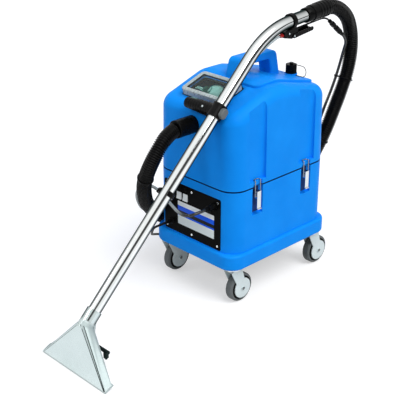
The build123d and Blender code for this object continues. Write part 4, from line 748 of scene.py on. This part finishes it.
def bandedLabel(spec):
    build = bmesh.new()
    middleX, middleZ = (spec["left"] + spec["right"]) / 2, (spec["bottom"] + spec["top"]) / 2
    rings = []
    for inset, rise in ((0, 0), (0, spec["thick"] * 0.6), (0.5, spec["thick"])):
        loop = roundedLoop(spec["right"] - spec["left"] - 2 * inset, spec["top"] - spec["bottom"] - 2 * inset,
                           spec["corner"] - inset)
        rings.append([place(middleX + x, spec["face"] - rise, middleZ + z) for x, z in loop])
    skin(build, rings, ends=True)
    return meshPiece("panelLabel", build, labelPrint)


fitted(bandedLabel(panelLabel), "machine", "white_plastic")

# two fuse caps above the switches
fuseCaps = {"spots": [(-60.5, -1, 358.7), (-32, -1, 357.1)],
            "profile": [(5.6, 0), (5.6, 1.1), (4.7, 1.6), (4.7, 5.4), (4.0, 6.1), (2.6, 6.1), (2.2, 5.2)]}
build = bmesh.new()
for spot in fuseCaps["spots"]:
    turnedForm(build, spot, (0, -1, 0), fuseCaps["profile"])
fitted(meshPiece("fuseCaps", build, blackPlastic), "machine", "black_plastic")

# bar and ring on each rocker
switchMarks = {"pump_rocker": -64, "vacuum_rocker": -35, "pivot": (3, 328), "tilt": 7,
               "face": -6.1, "proud": 0.4, "rise": 6, "bar": (1.4, 5.6, 0.6), "ring": (2.7, 1.8), "steps": 24}


def rockerMarks(spec, body):
    tilt = math.radians(spec["tilt"])
    inward = Vector((0, math.cos(tilt), -math.sin(tilt)))
    upward = Vector((0, math.sin(tilt), math.cos(tilt)))
    pivot = Vector((spec[body], *spec["pivot"]))
    build = bmesh.new()

    def onFace(x, rise, out):
        return place(*(pivot + Vector((x, 0, 0)) + upward * rise + inward * (spec["face"] - out)))

    bar = roundedLoop(*spec["bar"], 3)
    skin(build, [[onFace(x, spec["rise"] + z, out) for x, z in bar] for out in (0, spec["proud"])], ends=True)
    outer, inner = spec["ring"]
    turns = [2 * math.pi * step / spec["steps"] for step in range(spec["steps"])]
    ring = []
    for radius, out in ((outer, 0), (outer, spec["proud"]), (inner, spec["proud"]), (inner, 0)):
        ring.append([onFace(radius * math.cos(turn), radius * math.sin(turn) - spec["rise"], out)
                     for turn in turns])
    skin(build, ring, wrap=True)
    return meshPiece(body + "Marks", build, whitePlastic)


for body in ("pump_rocker", "vacuum_rocker"):
    fitted(rockerMarks(switchMarks, body), body, "white_plastic")
print("panel dressed")

# pale frame round the clear lid
lidFrame = {"profile": [(0.1, 4.1), (1.6, 4.1), (1.6, 20.5), (0.9, 23.0), (-1, 23.6),
                        (-12.5, 23.6), (-13.3, 23.0), (-13.3, 22.1), (0.1, 22.1)]}


def framedLid(spec):
    build = bmesh.new()
    rings = []
    for out, rise in spec["profile"]:
        loop = roundedLoop(lid["length"] + 2 * out, lid["breadth"] + 2 * out, max(lid["corner"] + out, 2.0))
        rings.append([onLid(x, y, rise) for x, y in loop])
    skin(build, rings, wrap=True)
    return meshPiece("lidFrame", build, frosted)


fitted(framedLid(lidFrame), "lid", "clear_lid")
print("lid framed")

# the wand's two runs: distance along, then below and beside the tube's middle
wandRuns = {"x": 106, "lean": 44.4, "rest": (-0.819, 659.556), "rise": 5.0, "bend": (215.667, 871.554)}


def onRun(start, angle, distance, below, side):
    angle = math.radians(angle)
    return Vector((wandRuns["x"] + side, start[0] + distance * math.cos(angle) + below * math.sin(angle),
                   start[1] + distance * math.sin(angle) - below * math.cos(angle)))


def onLower(distance, below=0, side=0):
    return onRun(wandRuns["rest"], wandRuns["lean"], distance, below, side)


def onUpper(distance, below=0, side=0):
    return onRun(wandRuns["bend"], wandRuns["rise"], distance, below, side)


# studs on the side grip's rings, and its screw
gripStuds = {"rings": 9, "perRing": 18, "clamp": 24.0, "reach": 104.0, "width": 8.5, "base": 23.0, "tip": 17.0,
             "stud": [(1.5, -0.5), (1.35, 0.25), (0.8, 0.75), (0.2, 0.9)]}
build = bmesh.new()
for ring in range(1, gripStuds["rings"] + 1):
    share = ring / gripStuds["rings"]
    radius = gripStuds["base"] + (gripStuds["tip"] - gripStuds["base"]) * share
    middle = onLower(0, 0, -(gripStuds["clamp"] + gripStuds["reach"] * share - gripStuds["width"] / 2))
    for stud in range(gripStuds["perRing"]):
        turn = 2 * math.pi * (stud + ring % 2 / 2) / gripStuds["perRing"]
        out = Vector((0, math.cos(turn), math.sin(turn)))
        turnedForm(build, middle + out * radius, out, gripStuds["stud"], 8)
fitted(meshPiece("gripStuds", build, gripBlack), "wand", "black_plastic")

screwHead = [(1.0, -0.6), (1.0, 0.3), (0.86, 0.46), (0.5, 0.56), (0.2, 0.56)]  # shares of the screw's radius
wandScrews = {"grip": ((62, -18.8, 671.3), (0, -0.837, 0.548), 3.4),
              "pin": (onUpper(114, 48, 12.9), (1, 0, 0), 2.6),
              "boss": (onUpper(91, 34.5, 11.25), (1, 0, 0), 3.0),
              "pinLeft": (onUpper(114, 48, -12.9), (-1, 0, 0), 2.6),
              "bossLeft": (onUpper(91, 34.5, -11.25), (-1, 0, 0), 3.0)}
build = bmesh.new()
for spot, axis, radius in wandScrews.values():
    turnedForm(build, spot, axis, [(share * radius, rise * radius) for share, rise in screwHead], 16)
fitted(meshPiece("wandScrews", build, forkMetal), "wand", "fork_metal")

# sleeve and ridges of the hose's cuff on the wand
cuffTrim = {"sleeve": [(20.3, 178), (23.4, 178), (24.2, 179), (24.2, 206.5), (20.3, 206.5)],
            "ridges": [232, 246, 260, 274],
            "ridge": [(26.4, 0), (27.6, 0), (27.8, 0.6), (27.8, 7.4), (27.6, 8.0), (26.4, 8.0)]}
along = onUpper(1) - onUpper(0)
build = bmesh.new()
turnedForm(build, onUpper(0), along, cuffTrim["sleeve"], 40)
for spot in cuffTrim["ridges"]:
    turnedForm(build, onUpper(0), along, [(radius, spot + rise) for radius, rise in cuffTrim["ridge"]], 40)
fitted(meshPiece("cuffTrim", build, blackPlastic), "wand", "black_plastic")

# clear solution line down the wand, and the whip under the cuff
wandLines = {
    "solutionLine": {"route": [(106, 275.6, 840.7), (106, 249.7, 838.4), (88.3, 119.8, 752.9), (88.3, 9.05, 644.5),
                               (88.3, -406, 238), (88.3, -467.4, 177.8), (106, -507.4, 104), (106, -507.4, 76)],
                     "radius": 4.0, "finish": clearLine, "slot": "clear_line", "node": "solution_line"},
    "valveWhip": {"route": [(106, 351.9, 852.4), (106, 454.2, 861.3), (106, 481.1, 863.7), (106, 507.8, 859.4),
                            (106, 521.9, 848.2)],
                  "radius": 3.0, "finish": blackPlastic, "slot": "cord_rubber", "node": "valve_whip"},
}
for name, spec in wandLines.items():
    line = readLine(name, [place(*point) for point in spec["route"]])
    spots = np.linspace(0, lineLength(line), int(lineLength(line) / 0.006))
    tube = tubeMesh(name, line, spots, np.full(len(spots), spec["radius"] / 1000), 16, spec["finish"])
    fitted(tube, "wand", spec["slot"], spec["node"])

# folds in the head's sheet, drawn as near-black beads that paint the shade along each fold
headFolds = {"lip": -587.414, "mouthSlope": 25, "depth": 34, "glide": 6, "neck": headMetal["neck"], "neckTilt": 60,
             "lines": [((142, -15), (4, -24), 1.2),
                       ((144.9, -14.1), (15.5, -20.4), 1.2), ((-142, -15), (-4, -24), 0.6)]}


def foldedLines(spec):
    slope, tilt = math.radians(spec["mouthSlope"]), math.radians(spec["neckTilt"])
    mouthUp = Vector((0, math.cos(slope), math.sin(slope)))
    mouthMiddle = Vector((106, spec["lip"], 0)) + mouthUp * spec["depth"] / 2 + Vector(
        (0, -math.sin(slope), math.cos(slope))) * spec["glide"]
    neckUp = Vector((0, math.sin(tilt), -math.cos(tilt)))
    build = bmesh.new()
    for low, high, radius in spec["lines"]:
        bead(build, mouthMiddle + Vector((low[0], 0, 0)) + mouthUp * low[1],
             Vector(spec["neck"]) + Vector((high[0], 0, 0)) + neckUp * high[1], radius)
    return meshPiece("headFolds", build, foldShadeAndManifold)


fitted(foldedLines(headFolds), "wand", "bright_metal")
print("wand dressed")

# castors: dark ring inside each tyre, painted shade in the gap by the hub; cap on each axle
castors = {"right_front": (150, 63), "right_rear": (150, 451), "left_front": (-150, 63), "left_rear": (-150, 451),
           "axle": 50, "tyreSide": 14.0, "plateSide": 19.5, "steps": 56,
           "ring": [(36.6, -0.6), (37.2, 0.2), (41.6, 0.2), (42.0, -0.4), (37.0, -0.6)],
           "cap": [(5.6, 0), (5.6, 4.4), (4.8, 5.2), (2.4, 5.5), (2.0, 5.1), (0.5, 5.1)]}


# painted shade: black rings on the tyre's sides where the gap by the hub lies in shadow
def tyreShadeRings(spec, name):
    build = bmesh.new()
    turns = [2 * math.pi * step / spec["steps"] for step in range(spec["steps"])]
    x, y = spec[name]
    for side in (1, -1):
        rings = []
        for radius, rise in spec["ring"]:
            rings.append([place(x + side * (spec["tyreSide"] + rise), y + radius * math.cos(turn),
                                spec["axle"] + radius * math.sin(turn)) for turn in turns])
        skin(build, rings, wrap=True)
    return meshPiece("tyreShadeRing_" + name, build, rubber)


def axleCaps(spec, name):
    build = bmesh.new()
    x, y = spec[name]
    for side in (1, -1):
        turnedForm(build, (x + side * spec["plateSide"], y, spec["axle"]), (side, 0, 0), spec["cap"], 20)
    return meshPiece("axleCap_" + name, build, greyPlastic)


for name in cornerNames:
    fitted(tyreShadeRings(castors, name), "wheel_" + name, "rubber")
    fitted(axleCaps(castors, name), "fork_" + name, "grey_plastic")
print("castors dressed")

# pale floor, white all round, soft studio light
studio = {"floor": 14.0, "drop": 0.0008, "floorColour": (0.60, 0.60, 0.60, 1), "floorGlow": 0.50,
          "ambient": 0.50, "ambientColour": (0.86, 0.90, 1.0)}
darkFlag = {"across": (-0.400, 0.462, 0.792), "half": (0.12, 0.22), "from": (0.35, 0.50), "dark": 0.94}
floorMesh = bpy.data.meshes.new("paleFloor")
edge = studio["floor"]
floorMesh.from_pydata([(-edge, -edge, 0), (edge, -edge, 0), (edge, edge, 0), (-edge, edge, 0)], [], [(0, 1, 2, 3)])
floor = link(bpy.data.objects.new("paleFloor", floorMesh))
floor.location.z = -studio["drop"]
floorFinish = Finish("paleFloor")
floorFinish.set(Base_Color=studio["floorColour"], Roughness=0.9, Specular_IOR_Level=0.0,
                Emission_Color=(1, 1, 1, 1))
floorRays = floorFinish.add("ShaderNodeLightPath")
floorSeen = floorFinish.most(floorRays.outputs["Is Camera Ray"], floorRays.outputs["Is Glossy Ray"],
                             floorRays.outputs["Is Transmission Ray"])
floorFinish.join(floorFinish.times(floorSeen, studio["floorGlow"]), floorFinish.shader.inputs["Emission Strength"])
paint(floor, floorFinish)

# the world: white to the camera, with a dark flag that polished metal picks up
world = bpy.data.worlds.new("studioWorld")
scene.world = world
world.use_nodes = True
sky = Finish("studioWorld", world.node_tree)
background = sky.tree.nodes["Background"]
sky.coord = sky.add("ShaderNodeTexCoord").outputs["Generated"]
rays = sky.add("ShaderNodeLightPath")
strip = sky.times(sky.span(sky.away(darkFlag["across"], (0, 0, 0)), 1.0, 0.0, *darkFlag["half"]),
                  sky.span(sky.along((1, 0, 0), (0, 0, 0)), 0.0, 1.0, *darkFlag["from"]))
flagged = sky.sums("SUBTRACT", 1.0, sky.times(strip, darkFlag["dark"]))
plain = sky.most(rays.outputs["Is Camera Ray"], rays.outputs["Is Transmission Ray"])
shown = sky.most(plain, rays.outputs["Is Glossy Ray"])
seen = sky.most(plain, sky.times(rays.outputs["Is Glossy Ray"], flagged))
lit = sky.times(sky.sums("SUBTRACT", 1.0, shown), studio["ambient"])
sky.join(sky.sums("ADD", seen, lit), background.inputs["Strength"])
sky.join(sky.mix(shown, studio["ambientColour"], (1.0, 1.0, 1.0)), background.inputs["Color"])

lamps = {
    "keyLamp": {"energy": 2.3, "aim": (0.56, -0.03, 0.83), "angle": 42},
    "frontLamp": {"energy": 0.32, "aim": (-0.30, -0.66, 0.69), "angle": 7},
}
for name, spec in lamps.items():
    lampData = bpy.data.lights.new(name, "SUN")
    lampData.energy = spec["energy"]
    lampData.angle = math.radians(spec["angle"])
    lamp = link(bpy.data.objects.new(name, lampData))
    lamp.rotation_euler = Vector(spec["aim"]).to_track_quat("Z", "Y").to_euler()
print("floor and light set")
